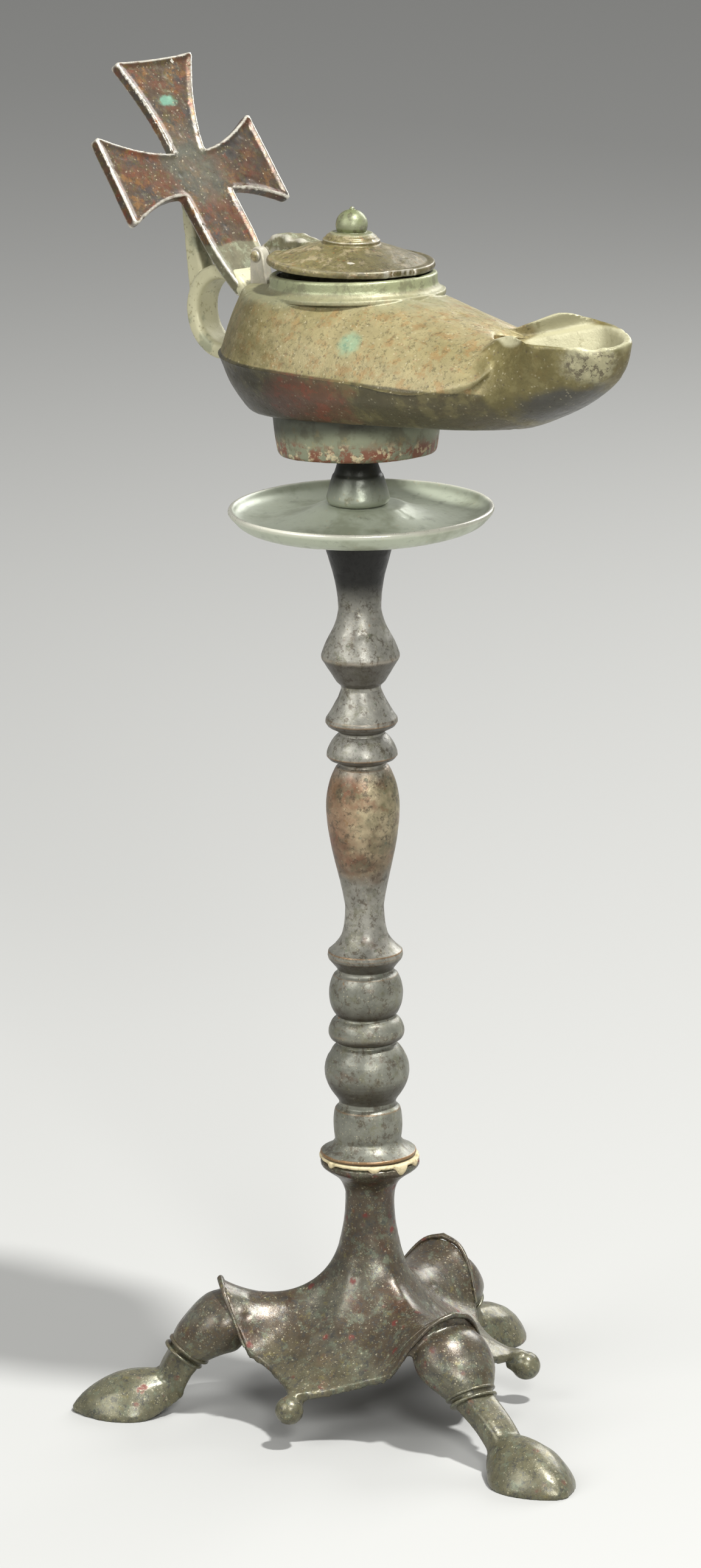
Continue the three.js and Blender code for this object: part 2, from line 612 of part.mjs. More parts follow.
// Two lugs on the shoulder that carry the lid's pin
function hingeLugs() {
  const shape = new THREE.Shape();
  shape.moveTo(-42, -4);
  shape.lineTo(-42, 5);
  shape.lineTo(HINGE.u - HINGE.barrel, HINGE.w);
  shape.absarc(HINGE.u, HINGE.w, HINGE.barrel, Math.PI, 0, true);
  shape.lineTo(-34.6, 3);
  shape.lineTo(-33.4, -4);
  shape.closePath();
  const from = HINGE.tabHalf + GAP;
  const lugs = unite(
    uprightPlate(shape, from, HINGE.lugOuter, 5),
    uprightPlate(shape, -HINGE.lugOuter, -from, 5),
  );
  return lugs.subtract(crossPin(HINGE.bore, -12, 12, HINGE.u, HINGE.w));
}

function lampBody() {
  const ornaments = unite(handleRing(), crossPlate());
  const shell = unite(lampShell(), collar(), footRing(), ornaments, hingeLugs());
  return shell.subtract(lampHollow());
}

// Lid in the lamp's frame, level, before it is let down onto the collar
function lid() {
  const outline = new THREE.Path();
  const over = (height) => LID.bottomW + height;
  const disc = (height) => LID.bottomW + LID.domeHeight + height;
  outline.moveTo(0, over(5.6));
  outline.lineTo(10, over(5));
  outline.lineTo(22, over(1.8));
  outline.lineTo(23.6, over(0));
  outline.lineTo(LID.radius - 0.5, over(0));
  outline.lineTo(LID.radius, over(1));
  outline.lineTo(LID.radius - 0.4, over(LID.lipHeight));
  outline.quadraticCurveTo(18, over(5.6), KNOB.discRadius, disc(0));
  outline.lineTo(KNOB.discRadius + 0.2, disc(1.3));
  outline.lineTo(8.8, disc(1.7));
  outline.lineTo(8.5, disc(2.6));
  outline.lineTo(7.6, disc(2.9));
  outline.lineTo(7.3, disc(3.5));
  outline.lineTo(4.4, disc(3.9));
  outline.lineTo(0, disc(3.9));
  const plate = turned(outline, 30, 2);
  const ball = solid(new THREE.SphereGeometry(KNOB.ballRadius, 12, 8)).scale([1, 1, 0.96])
    .translate([0, 0, LID.bottomW + KNOB.ballW]);
  const nipple = solid(new THREE.SphereGeometry(0.9, 8, 6))
    .translate([0, 0, LID.bottomW + KNOB.ballW + KNOB.ballRadius * 0.96]);
  const cap = unite(plate, ball, nipple).translate([LID.centreU, 0, 0]);
  const tab = new THREE.Shape();
  tab.moveTo(-14, over(3.8));
  tab.quadraticCurveTo(-16, over(6.4), -24, over(6.2));
  tab.quadraticCurveTo(-32, over(8.2), -37.6, over(4.6));
  tab.quadraticCurveTo(-41.9, over(2.4), HINGE.u - HINGE.barrel, HINGE.w);
  tab.absarc(HINGE.u, HINGE.w, HINGE.barrel, Math.PI, 2 * Math.PI, false);
  tab.quadraticCurveTo(-34, over(0.9), -30, over(0.6));
  tab.lineTo(-22, over(0.6));
  tab.closePath();
  const strap = uprightPlate(tab, -HINGE.tabHalf, HINGE.tabHalf, 5);
  // Broken-off stretch of the lip, at the front on the far side of the middle
  const chip = new THREE.Shape();
  chip.moveTo(27.2, -14);
  chip.lineTo(26.2, 8);
  chip.lineTo(40, 16);
  chip.lineTo(40, -20);
  chip.closePath();
  const chipGeometry = new THREE.ExtrudeGeometry(chip, { depth: 8, bevelEnabled: false });
  const bite = solid(chipGeometry).rotate([0, 0, 14]).translate([LID.centreU, 0, LID.bottomW - 2]);
  return unite(cap, strap).subtract(bite).subtract(crossPin(HINGE.bore, -12, 12, HINGE.u, HINGE.w));
}

function hingePin() {
  return unite(
    crossPin(HINGE.pin, -HINGE.lugOuter - 0.9, HINGE.lugOuter + 0.9, HINGE.u, HINGE.w),
    crossPin(2.1, HINGE.lugOuter + GAP, HINGE.lugOuter + 1.4, HINGE.u, HINGE.w),
    crossPin(2.1, -HINGE.lugOuter - 1.4, -HINGE.lugOuter - GAP, HINGE.u, HINGE.w),
  );
}

// Materials and assembly

function piece(name, manifold, colour, roughness, metalness) {
  const material = new THREE.MeshStandardMaterial({ color: colour, roughness, metalness });
  material.name = name;
  const mesh = new THREE.Mesh(geometryOf(manifold), material);
  mesh.name = name;
  return mesh;
}

// Tips a group so that its top moves toward a bearing
function leanToward(group, bearing, angle) {
  const axis = new THREE.Vector3(-Math.sin(degrees(bearing)), Math.cos(degrees(bearing)), 0);
  group.quaternion.setFromAxisAngle(axis, degrees(angle));
}

const stand = new THREE.Group();
stand.add(piece('tripod_base', tripodBase(), 0x4a4036, 0.5, 0.6));
stand.add(piece('seating_fill', seatingFill(), 0xcdc1a2, 0.9, 0));

const upright = new THREE.Group();
upright.position.set(SHAFT.offset, SHAFT.offset, SHAFT.bottom);
leanToward(upright, SHAFT.leanBearing, SHAFT.lean);
upright.add(piece('baluster_shaft', shaft(), 0x6b5f50, 0.45, 0.6));
const pan = piece('drip_pan', dripPan(), 0x9aa08a, 0.45, 0.5);
pan.position.set(PAN.offset, PAN.offset, 0);
upright.add(pan);
upright.add(piece('pricket', pricket(), 0x8a8f80, 0.45, 0.6));
stand.add(upright);

const lamp = new THREE.Group();
lamp.position.set(LAMP.x, LAMP.y, LAMP.z);
leanToward(lamp, LAMP.tiltBearing, LAMP.tilt);
lamp.add(piece('lamp_body', lampBody(), 0x8d8560, 0.5, 0.4));
lamp.add(piece('hinge_pin', hingePin(), 0x6f6a58, 0.5, 0.6));

// The lid turns on its pin and droops until its front edge rests on the collar
const hinge = new THREE.Group();
hinge.position.set(HINGE.u, 0, HINGE.w);
hinge.rotation.y = degrees(LID.droop);
const lidPiece = piece('lid', lid(), 0x7d7148, 0.5, 0.4);
lidPiece.position.set(-HINGE.u, 0, -HINGE.w);
hinge.add(lidPiece);
lamp.add(hinge);
stand.add(lamp);

// Origin under the middle of the whole part, at floor level
stand.updateMatrixWorld(true);
const bounds = new THREE.Box3().setFromObject(stand, true);
const lampstand = new THREE.Group();
stand.position.set(-(bounds.min.x + bounds.max.x) / 2, -(bounds.min.y + bounds.max.y) / 2, -bounds.min.z);
lampstand.add(stand);
lampstand.updateMatrixWorld(true);

export default lampstand;
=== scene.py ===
import math

import bmesh
import bpy
import numpy as np
from mathutils import Matrix, Vector, noise


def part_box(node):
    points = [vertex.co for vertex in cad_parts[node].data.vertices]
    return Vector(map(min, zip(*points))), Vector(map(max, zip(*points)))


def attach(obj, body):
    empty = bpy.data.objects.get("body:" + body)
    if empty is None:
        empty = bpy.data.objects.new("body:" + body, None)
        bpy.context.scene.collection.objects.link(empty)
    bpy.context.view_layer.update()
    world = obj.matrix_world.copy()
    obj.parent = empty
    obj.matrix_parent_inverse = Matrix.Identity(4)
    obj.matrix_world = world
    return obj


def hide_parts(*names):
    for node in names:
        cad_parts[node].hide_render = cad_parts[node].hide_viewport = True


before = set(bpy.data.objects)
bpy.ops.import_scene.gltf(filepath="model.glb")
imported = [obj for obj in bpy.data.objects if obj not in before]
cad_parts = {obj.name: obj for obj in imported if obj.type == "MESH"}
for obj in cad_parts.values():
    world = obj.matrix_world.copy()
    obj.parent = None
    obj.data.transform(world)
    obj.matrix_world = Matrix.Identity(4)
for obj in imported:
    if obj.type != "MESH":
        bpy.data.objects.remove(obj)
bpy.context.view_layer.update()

bl_info = {
    "name": "Bronze Lampstand",
    "version": (1, 0, 0),
    "blender": (4, 5, 0),
    "location": "3D View > Sidebar > Lampstand",
    "description": "Builds a late antique bronze oil lamp and its stand around a packed frame",
    "category": "Add Mesh",
}

MM = 0.001
UP = (0, 0, 1)

# Fineness: points closer than this in millimetres are one, steps between two points of a contour,
# sides of a round bar, and of a ball with its steps from pole to pole
MERGE = 0.06
CONTOUR_STEPS = 11
TUBE_SIDES = 14
BALL_SIDES = 36
BALL_STEPS = 24

# Where a pit of the casting skin begins in the noise, and how soon it is at full depth
PIT_START = 0.42
PIT_SLOPE = 0.2

# Middle of the stand on the floor, read off the putty ring, which is centred on it
FILL_LOW, FILL_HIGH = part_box("seating_fill")
AXIS_X = (FILL_LOW[0] + FILL_HIGH[0]) / 2 / MM
AXIS_Y = (FILL_LOW[1] + FILL_HIGH[1]) / 2 / MM

# Sizes below are in millimetres and degrees, as in the solids
LEGS = (
    {"bearing": 105, "reach": 101.5, "tip": 167},
    {"bearing": 229, "reach": 103.5, "tip": 284.5},
    {"bearing": 348, "reach": 119, "tip": 46.5},
)
NECK_RIM_RADIUS = 17.4
NECK_RIM_TOP = 89.8
CANOPY_THICKNESS = 2.8
CUFF_REACH = 52
CUFF_LIP_Z = 47
CUFF_HALF_ANGLE = 23
CUFF_END_RADIUS = 47.5
CUFF_END_Z = 27
TIP_REACH = 53
TIP_Z = 18
BALL_RADIUS = 5
BALL_REACH = 54.5
BALL_Z = 13.6
FOOT_LENGTH = 38.5
FOOT_HALF_WIDTH = 14.5

SHAFT_BOTTOM = 91.5
SHAFT_TOP = 316.9
SHAFT_LEAN = 0.9
SHAFT_LEAN_BEARING = 225
SHAFT_OFFSET = -0.35
PAN_RIM = 320.2
PAN_RADIUS = 45.2
PAN_OFFSET = 0.7

LAMP_PLACE = (-6.5, -1.4, 395.0)
LAMP_TILT = 3.9
LAMP_TILT_BEARING = 154.4
WALL = 2.6
FLOOR_W = -41.6
COLLAR_OUTER = 28.4
COLLAR_INNER = 25.8
COLLAR_HEIGHT = 5.0
FOOT_RING_BOTTOM = -56.2
SOCKET_INNER = 6.9
SOCKET_OUTER = 8.6
SOCKET_BOTTOM = -51
HINGE_U = -38.6
HINGE_W = 8.6
HINGE_BARREL = 3.1
HINGE_BORE = 1.6
HINGE_TAB = 4.2
HINGE_LUG = 8.0
HINGE_PLAY = 0.3
BORE_REACH = 12
PIN_RADIUS = 1.25
PIN_HEAD = 2.1
LID_RADIUS = 28.6
LID_W = 9.6
LID_CENTRE = -1.2
LID_DROOP = 3.6
LID_DOME = 7.8
KNOB_DISC = 9.6
KNOB_BALL = 5.5
KNOB_W = 13.9
CROSS_U = -74.3
CROSS_W = 34.7
CROSS_LEAN = 34
CROSS_THICKNESS = 4.4
RING_U = -60.2
RING_W = -12.4
RING_OUTER = 16.4
RING_INNER = 10.6
RING_HALF_WIDTH = 5.8
STRUT_HALF_WIDTH = 3.4

# Half outlines of the bowl: u along the nozzle, v across, w up, with a second w for the far side
HULL_BOTTOM = [(-40.5, 0, -41.6), (-29, 20, -41.6), (-8.5, 30.4, -41.6), (23, 26.4, -41.6),
               (47, 20.4, -41.6), (61, 16, -41.6), (71, 11, -41.5), (78, 5.4, -41.2), (80, 0, -41.2)]
HULL_TURN = [(-42.6, 0, -40), (-30.8, 21.8, -40), (-9.5, 32.8, -40), (25, 29.2, -40),
             (52, 23.4, -40), (67, 18, -39.6), (79, 12, -38.8), (87.5, 6, -38.2), (90, 0, -38)]
HULL_SIDE = [(-48, 0, -32), (-35.5, 24.5, -32), (-11, 38.2, -32), (30, 36, -32.6),
             (60, 30.4, -33), (76, 23, -32), (92, 15.4, -31), (103, 7.6, -31), (106, 0, -31)]
HULL_BELLY = [(-52.3, 0, -25), (-39.4, 25, -25), (-12, 40.3, -25.2), (32, 38, -27),
              (64.5, 32, -28.4), (79, 22, -25), (98.6, 18, -21.4), (116.4, 7.8, -21), (120, 0, -20.6)]
HULL_RIM = [(-53.5, 0, -22), (-40.5, 25.6, -22.2), (-12.5, 41, -23.4), (32.6, 38.6, -25.6),
            (65, 32.6, -27), (81.5, 12.6, -9.4, -4.2), (101.4, 18.6, -9.3, -6.2),
            (121.4, 7.6, -10.4, -8.3), (124.6, 0, -9.6)]
SHOULDER_SKIRT = [(-46, 0, -27), (-34, 21, -27), (-10, 36.5, -27), (31, 35, -30), (59, 28, -31),
                  (71, 22, -30), (74, 13, -28), (68, 6, -26), (65, 0, -26)]
SHOULDER_EDGE = [(-52.8, 0, -21.9), (-39.8, 25, -22.1), (-12.2, 40.4, -23.3), (32.2, 38, -25.5),
                 (64, 32.2, -26.9), (78.4, 26.4, -24.6), (82.4, 16.6, -18), (71, 7, -16), (66.4, 0, -16)]
SHOULDER_WALL = [(-50.4, 0, -11), (-37.8, 21.8, -11.4), (-11, 37, -12), (31, 33.4, -16),
                 (62, 27.6, -18.6), (76, 20.8, -17.2), (80, 13, -13.6), (70.6, 6, -12.8), (66.4, 0, -12.4)]
SHOULDER_TOP = [(-47.4, 0, -2.2), (-35, 18.4, -2.4), (-10, 33, -3), (28, 25.4, -7.4),
                (58, 19.6, -11.4), (69.6, 14, -12.2, -13.6), (74, 9.8, -11.2, -13),
                (70, 4.6, -10.8, -12), (66.6, 0, -11)]
SHOULDER_LEDGE = [(-45.2, 0, -0.9), (-33, 17.4, -1), (-9.2, 31.2, -1.2), (23, 20.4, -2.8),
                  (48, 11.6, -6), (60, 8.2, -8.4), (64.6, 5.6, -9.4), (65.2, 2.8, -9.6), (65.4, 0, -9.8)]
SHOULDER_CROWN = [(-27, 0, -0.2), (-20, 17, -0.2), (-6, 24.4, -0.2), (12, 16, -0.3), (26, 8.4, -1),
                  (35, 5.2, -2), (39.4, 3.4, -2.8), (41.2, 1.6, -3.1), (42, 0, -3.3)]
MOUTH = [(66.8, 0), (69.6, 4.6), (75, 8.6), (83.4, 11.2), (92, 14), (101.4, 16.4), (111.6, 11.8),
         (119.6, 5.6), (122.4, 0)]
MOUTH_MIDDLE = 96


def lean(bearing, angle):
    """Turn that tips the top of a thing toward a bearing."""
    axis = Vector((-math.sin(math.radians(bearing)), math.cos(math.radians(bearing)), 0))
    return Matrix.Rotation(math.radians(angle), 4, axis)


BASE_FRAME = Matrix.Translation((AXIS_X, AXIS_Y, 0))
SHAFT_FRAME = (BASE_FRAME @ Matrix.Translation((SHAFT_OFFSET, SHAFT_OFFSET, SHAFT_BOTTOM))
               @ lean(SHAFT_LEAN_BEARING, SHAFT_LEAN) @ Matrix.Translation((0, 0, -SHAFT_BOTTOM)))
PAN_FRAME = SHAFT_FRAME @ Matrix.Translation((PAN_OFFSET, PAN_OFFSET, 0))
LAMP_FRAME = BASE_FRAME @ Matrix.Translation(LAMP_PLACE) @ lean(LAMP_TILT_BEARING, LAMP_TILT)
LID_FRAME = (LAMP_FRAME @ Matrix.Translation((HINGE_U, 0, HINGE_W))
             @ Matrix.Rotation(math.radians(LID_DROOP), 4, "Y")
             @ Matrix.Translation((-HINGE_U, 0, -HINGE_W)))


def mix(a, b, t):
    return a + (b - a) * t


def curve(p0, p1, p2, p3, t):
    """Point at t between p1 and p2 on the smooth curve through four points in a row."""
    return 0.5 * (2 * p1 + (p2 - p0) * t + (2 * p0 - 5 * p1 + 4 * p2 - p3) * t * t
                  + (3 * p1 - p0 - 3 * p2 + p3) * t ** 3)


def along(pairs, x):
    """A value read off a short list of (x, value) pairs, with smooth slopes between them."""
    if x <= pairs[0][0]:
        return pairs[0][1]
    for i in range(1, len(pairs)):
        if x <= pairs[i][0]:
            span = pairs[i][0] - pairs[i - 1][0]
            t = (x - pairs[i - 1][0]) / span
            before = pairs[max(i - 2, 0)]
            after = pairs[min(i + 1, len(pairs) - 1)]
            slope_in = (pairs[i][1] - before[1]) / (pairs[i][0] - before[0]) * span
            slope_out = (after[1] - pairs[i - 1][1]) / (after[0] - pairs[i - 1][0]) * span
            t2 = t * t
            t3 = t2 * t
            return ((2 * t3 - 3 * t2 + 1) * pairs[i - 1][1] + (t3 - 2 * t2 + t) * slope_in
                    + (3 * t2 - 2 * t3) * pairs[i][1] + (t3 - t2) * slope_out)
    return pairs[-1][1]


class Outline:
    """A profile drawn with lines and curves, as a list of (across, up) points."""

    def __init__(self, x, y):
        self.points = [(x, y)]

    def line(self, x, y):
        self.points.append((x, y))
        return self

    def quad(self, cx, cy, x, y, steps=14):
        x0, y0 = self.points[-1]
        for i in range(1, steps + 1):
            t = i / steps
            a, b, c = (1 - t) ** 2, 2 * t * (1 - t), t * t
            self.points.append((a * x0 + b * cx + c * x, a * y0 + b * cy + c * y))
        return self

    def cubic(self, ax, ay, bx, by, x, y, steps=24):
        x0, y0 = self.points[-1]
        for i in range(1, steps + 1):
            t = i / steps
            k = ((1 - t) ** 3, 3 * t * (1 - t) ** 2, 3 * t * t * (1 - t), t ** 3)
            self.points.append((k[0] * x0 + k[1] * ax + k[2] * bx + k[3] * x,
                                k[0] * y0 + k[1] * ay + k[2] * by + k[3] * y))
        return self

    def arc(self, cx, cy, radius, start, end, steps=20):
        for i in range(steps + 1):
            turn = mix(start, end, i / steps)
            self.points.append((cx + radius * math.cos(turn), cy + radius * math.sin(turn)))
        return self

    def even(self, spacing, closed=False, soften=1):
        """The profile at even steps with its corners eased a little."""
        pts = np.array(self.points, float)
        if closed:
            pts = np.vstack([pts, pts[:1]])
        keep = np.r_[True, np.linalg.norm(np.diff(pts, axis=0), axis=1) > 1e-6]
        pts = pts[keep]
        run = np.r_[0, np.cumsum(np.linalg.norm(np.diff(pts, axis=0), axis=1))]
        count = max(int(run[-1] / spacing), 4)
        at = np.linspace(0, run[-1], count + 1)
        out = np.stack([np.interp(at, run, pts[:, 0]), np.interp(at, run, pts[:, 1])], 1)
        if closed:
            out = out[:-1]
            for _ in range(soften):
                out = (np.roll(out, 1, 0) + 2 * out + np.roll(out, -1, 0)) / 4
        else:
            for _ in range(soften):
                out[1:-1] = (out[:-2] + 2 * out[1:-1] + out[2:]) / 4
        return out


def lathe(points, segments, closed=False):
    """Vertices and faces of a profile turned about the Z axis."""
    pts = np.asarray(points, float)
    verts = []
    rows = []
    for x, z in pts:
        if x < 1e-6:
            rows.append([len(verts)] * segments)
            verts.append((0.0, 0.0, z))
            continue
        rows.append(list(range(len(verts), len(verts) + segments)))
        for j in range(segments):
            turn = 2 * math.pi * j / segments
            verts.append((x * math.cos(turn), x * math.sin(turn), z))
    faces = []
    pairs = list(zip(rows, rows[1:]))
    if closed:
        pairs.append((rows[-1], rows[0]))
    for low, high in pairs:
        for j in range(segments):
            k = (j + 1) % segments
            corner = [low[j], low[k], high[k], high[j]]
            face = [c for n, c in enumerate(corner) if c != corner[n - 1]]
            if len(face) > 2:
                faces.append(face)
    return np.array(verts), faces


def band_faces(rows, count):
    """Faces of a closed band through rows of that many points each."""
    faces = []
    for i in range(rows - 1):
        for j in range(count):
            k = (j + 1) % count
            faces.append([i * count + j, i * count + k, (i + 1) * count + k, (i + 1) * count + j])
    return faces


def loft(rings, cap=1):
    """Closed skin through rings of equally many points, with each end filled in cap steps."""
    rings = [np.asarray(ring, float) for ring in rings]
    shares = [step / cap for step in range(1, cap)]
    low_middle, high_middle = rings[0].mean(0), rings[-1].mean(0)
    rings = ([mix(low_middle, rings[0], share) for share in shares] + rings
             + [mix(high_middle, rings[-1], share) for share in shares[::-1]])
    count = len(rings[0])
    verts = np.vstack(rings + [rings[0].mean(0)[None], rings[-1].mean(0)[None]])
    faces = band_faces(len(rings), count)
    low = len(verts) - 2
    top = (len(rings) - 1) * count
    for j in range(count):
        k = (j + 1) % count
        faces.append([k, j, low])
        faces.append([top + j, top + k, low + 1])
    return verts, faces


def contour(half):
    """Closed smooth contour through a half outline and its mirror image."""
    near = [(p[0], -p[1], p[2]) for p in half]
    far = [(p[0], p[1], p[3] if len(p) > 3 else p[2]) for p in half][1:-1]
    ring = np.array(near + far[::-1], float)
    count = len(ring)
    out = []
    for i in range(count):
        four = [ring[(i + k) % count] for k in (-1, 0, 1, 2)]
        out += [curve(*four, j / CONTOUR_STEPS) for j in range(CONTOUR_STEPS)]
    return np.array(out)


def between(rings, steps, curved=True):
    """More rings between the given ones, on smooth curves or straight lines from ring to ring."""
    out = []
    last = len(rings) - 1
    for i in range(last):
        four = rings[max(i - 1, 0)], rings[i], rings[i + 1], rings[min(i + 2, last)]
        for j in range(steps):
            out.append(curve(*four, j / steps) if curved else mix(four[1], four[2], j / steps))
    out.append(rings[-1])
    return out


def inset(half, wall, lift):
    """A half outline shrunk toward the middle line by a wall thickness and lifted."""
    out = []
    for i, p in enumerate(half):
        shift = mix(wall, -wall, i / (len(half) - 1))
        far = p[3] if len(p) > 3 else p[2]
        out.append((p[0] + shift, max(p[1] - wall, p[1] * 0.3), p[2] + lift, far + lift))
    return out


def bevelled(low, high, bevel):
    """Steps of a plate with both edges bevelled, as (depth, how far the outline is pulled in)."""
    return (low, bevel), (low + bevel, 0), (high - bevel, 0), (high, bevel)


def plate(points, steps, place):
    """Closed plate from an outline in its own plane, put in place by place(a, b, depth)."""
    pts = np.asarray(points, float)
    area = np.sum(pts[:, 0] * np.roll(pts[:, 1], -1) - np.roll(pts[:, 0], -1) * pts[:, 1])
    if area < 0:
        pts = pts[::-1]
    ahead = np.roll(pts, -1, 0) - np.roll(pts, 1, 0)
    normal = np.stack([ahead[:, 1], -ahead[:, 0]], 1)
    normal /= np.linalg.norm(normal, axis=1)[:, None] + 1e-9
    verts = [place(a, b, depth) for depth, pull in steps for a, b in pts - normal * pull]
    count = len(pts)
    top = (len(steps) - 1) * count
    caps = [list(range(count))[::-1], [top + j for j in range(count)]]
    return np.array(verts, float), caps + band_faces(len(steps), count)


def tube(path, radii):
    """Round bar along a path, with a radius for each point of it."""
    path = np.asarray(path, float)
    ahead = np.gradient(path, axis=0)
    rings = []
    for point, way, radius in zip(path, ahead, radii):
        way = Vector(way).normalized()
        side = way.cross(Vector(UP)).normalized()
        lift = side.cross(way)
        rings.append([np.array(Vector(point) + radius * (side * math.cos(a) + lift * math.sin(a)))
                      for a in np.linspace(0, 2 * math.pi, TUBE_SIDES, endpoint=False)])
    return loft(rings)


def moved(shell, x, y, z):
    """A shell shifted by that much."""
    verts, faces = shell
    return verts + np.array([x, y, z]), faces


def lie_across(shell, u, w):
    """A turned shell laid down, so that its axis runs across the lamp at that place."""
    verts, faces = shell
    return np.stack([verts[:, 0] + u, verts[:, 2], verts[:, 1] + w], 1), faces


def ball(centre, radius, squash=1.0):
    """A ball, flattened where squash is under 1."""
    rows = [(radius * math.sin(a), centre[2] - radius * squash * math.cos(a))
            for a in np.linspace(0, math.pi, BALL_STEPS + 1)]
    rows[0] = (0, rows[0][1])
    rows[-1] = (0, rows[-1][1])
    return moved(lathe(rows, BALL_SIDES), centre[0], centre[1], 0)


def turn_z(shell, angle):
    """A shell turned about the Z axis by an angle in degrees."""
    verts, faces = shell
    c, s = math.cos(math.radians(angle)), math.sin(math.radians(angle))
    return verts @ np.array([[c, s, 0], [-s, c, 0], [0, 0, 1]]), faces


def new_piece(name, shells, matrix):
    """One object from closed shells given in millimetres in a frame of their own."""
    verts = []
    faces = []
    turn = np.array(matrix.to_3x3())
    shift = np.array(matrix.translation)
    for shell_verts, shell_faces in shells:
        start = sum(len(v) for v in verts)
        verts.append((np.asarray(shell_verts, float) @ turn.T + shift) * MM)
        faces += [[start + c for c in face] for face in shell_faces]
    mesh = bpy.data.meshes.new(name)
    mesh.from_pydata(np.vstack(verts).tolist(), [], faces)
    mesh.update()
    obj = bpy.data.objects.new(name, mesh)
    bpy.context.scene.collection.objects.link(obj)
    outward(obj)
    return obj


def outward(obj):
    """Turns every face to point out of its own shell."""
    work = bmesh.new()
    work.from_mesh(obj.data)
    bmesh.ops.recalc_face_normals(work, faces=work.faces)
    work.to_mesh(obj.data)
    work.free()


def apply_modifiers(obj):
    """Makes what the modifiers show the object's own mesh."""
    graph = bpy.context.evaluated_depsgraph_get()
    graph.update()
    mesh = bpy.data.meshes.new_from_object(obj.evaluated_get(graph))
    old = obj.data
    obj.modifiers.clear()
    obj.data = mesh
    mesh.name = obj.name
    bpy.data.meshes.remove(old)


def cut_away(obj, tools, operation="DIFFERENCE"):
    """Cuts each tool out of the object, or joins it on, and removes the tool."""
    for tool in tools:
        cut = obj.modifiers.new("cut", "BOOLEAN")
        cut.operation = operation
        cut.solver = "MANIFOLD"
        cut.object = tool
        apply_modifiers(obj)
    for tool in tools:
        mesh = tool.data
        bpy.data.objects.remove(tool)
        bpy.data.meshes.remove(mesh)


def fuse(obj, cell, ease=2):
    """Melts overlapping shells into one skin with cells of that size, then eases its steps."""
    skin = obj.modifiers.new("skin", "REMESH")
    skin.mode = "VOXEL"
    skin.voxel_size = cell * MM * 1
    if ease:
        soft = obj.modifiers.new("ease", "SMOOTH")
        soft.factor = 0.5
        soft.iterations = ease
    apply_modifiers(obj)


def refine(obj, edge, ease=1):
    """Splits long edges so that the skin can be weathered, and takes the sharpness off its corners."""
    longest = edge * MM * 1
    work = bmesh.new()
    work.from_mesh(obj.data)
    bmesh.ops.remove_doubles(work, verts=work.verts, dist=MERGE * MM)
    bmesh.ops.dissolve_degenerate(work, dist=MERGE * MM, edges=work.edges)
    bmesh.ops.triangulate(work, faces=work.faces)
    for _ in range(6):
        split = [e for e in work.edges if e.calc_length() > longest]
        if not split:
            break
        bmesh.ops.subdivide_edges(work, edges=split, cuts=1)
        bmesh.ops.triangulate(work, faces=work.faces)
    for _ in range(ease):
        bmesh.ops.smooth_vert(work, verts=work.verts, factor=0.5, use_axis_x=True, use_axis_y=True,
                              use_axis_z=True)
    work.to_mesh(obj.data)
    work.free()
    obj.data.validate()


def rough(point, scale, seed):
    """Soft noise from -1 to 1 at a point in metres, with lumps of about 1/scale of a metre."""
    x, y, z = (c * scale for c in point)
    return noise.noise(Vector((x + seed, y - seed, z + 2 * seed)))


def weather(obj, rule):
    """Moves each vertex along its normal by rule(point), given in metres and answered in millimetres."""
    mesh = obj.data
    count = len(mesh.vertices)
    co = np.zeros(count * 3)
    mesh.vertices.foreach_get("co", co)
    co = co.reshape(-1, 3)
    no = np.zeros(count * 3, np.float32)
    mesh.vertex_normals.foreach_get("vector", no)
    no = no.reshape(-1, 3)
    push = np.array([rule(p) for p in co]) * MM
    co = co + no * push[:, None]
    co[:, 2] = np.maximum(co[:, 2], 0)
    mesh.vertices.foreach_set("co", co.ravel())
    mesh.update()


def cast_skin(seed, waves=0.12, grain=0.05, pits=0.16):
    """Rule for weather(): the uneven skin of an old casting, with soft waves, grain and sparse pits."""
    def rule(p):
        depth = waves * rough(p, 55, seed) + grain * rough(p, 420, seed + 3)
        pit = rough(p, 230, seed + 7)
        if pit > PIT_START:
            depth -= pits * min((pit - PIT_START) / PIT_SLOPE, 1)
        return depth
    return rule


def finish(obj, material, body="stand", sharp=None):
    """Gives a piece its material, smooth shading and body; edges steeper than sharp stay crisp."""
    obj.data.materials.clear()
    obj.data.materials.append(material)
    obj.data.shade_smooth()
    if sharp is not None:
        work = bmesh.new()
        work.from_mesh(obj.data)
        for edge in work.edges:
            if len(edge.link_faces) == 2 and edge.calc_face_angle(0) > math.radians(sharp):
                edge.smooth = False
        work.to_mesh(obj.data)
        work.free()
    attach(obj, body)
    return obj


def srgb(red, green, blue):
    """Linear colour from the usual 0 to 255 values."""
    return tuple((c / 255 / 12.92) if c / 255 <= 0.04045 else ((c / 255 + 0.055) / 1.055) ** 2.4
                 for c in (red, green, blue))


# Sizes in the patina, in millimetres: fine grain, depth of the bump and spots in the sheen
FINE_SIZE = 0.9
RELIEF_DEPTH = 0.25
SHEEN_SIZE = 2.4
SHEEN_CHANGE = 0.3

# Shares: a fleck's cell that is full and where it ends, and how far down a face must turn for the painted
# underside shade to be full
FLECK_CORE = 0.2
FLECK_EDGE = 0.45
UNDERSIDE_FULL = 0.6


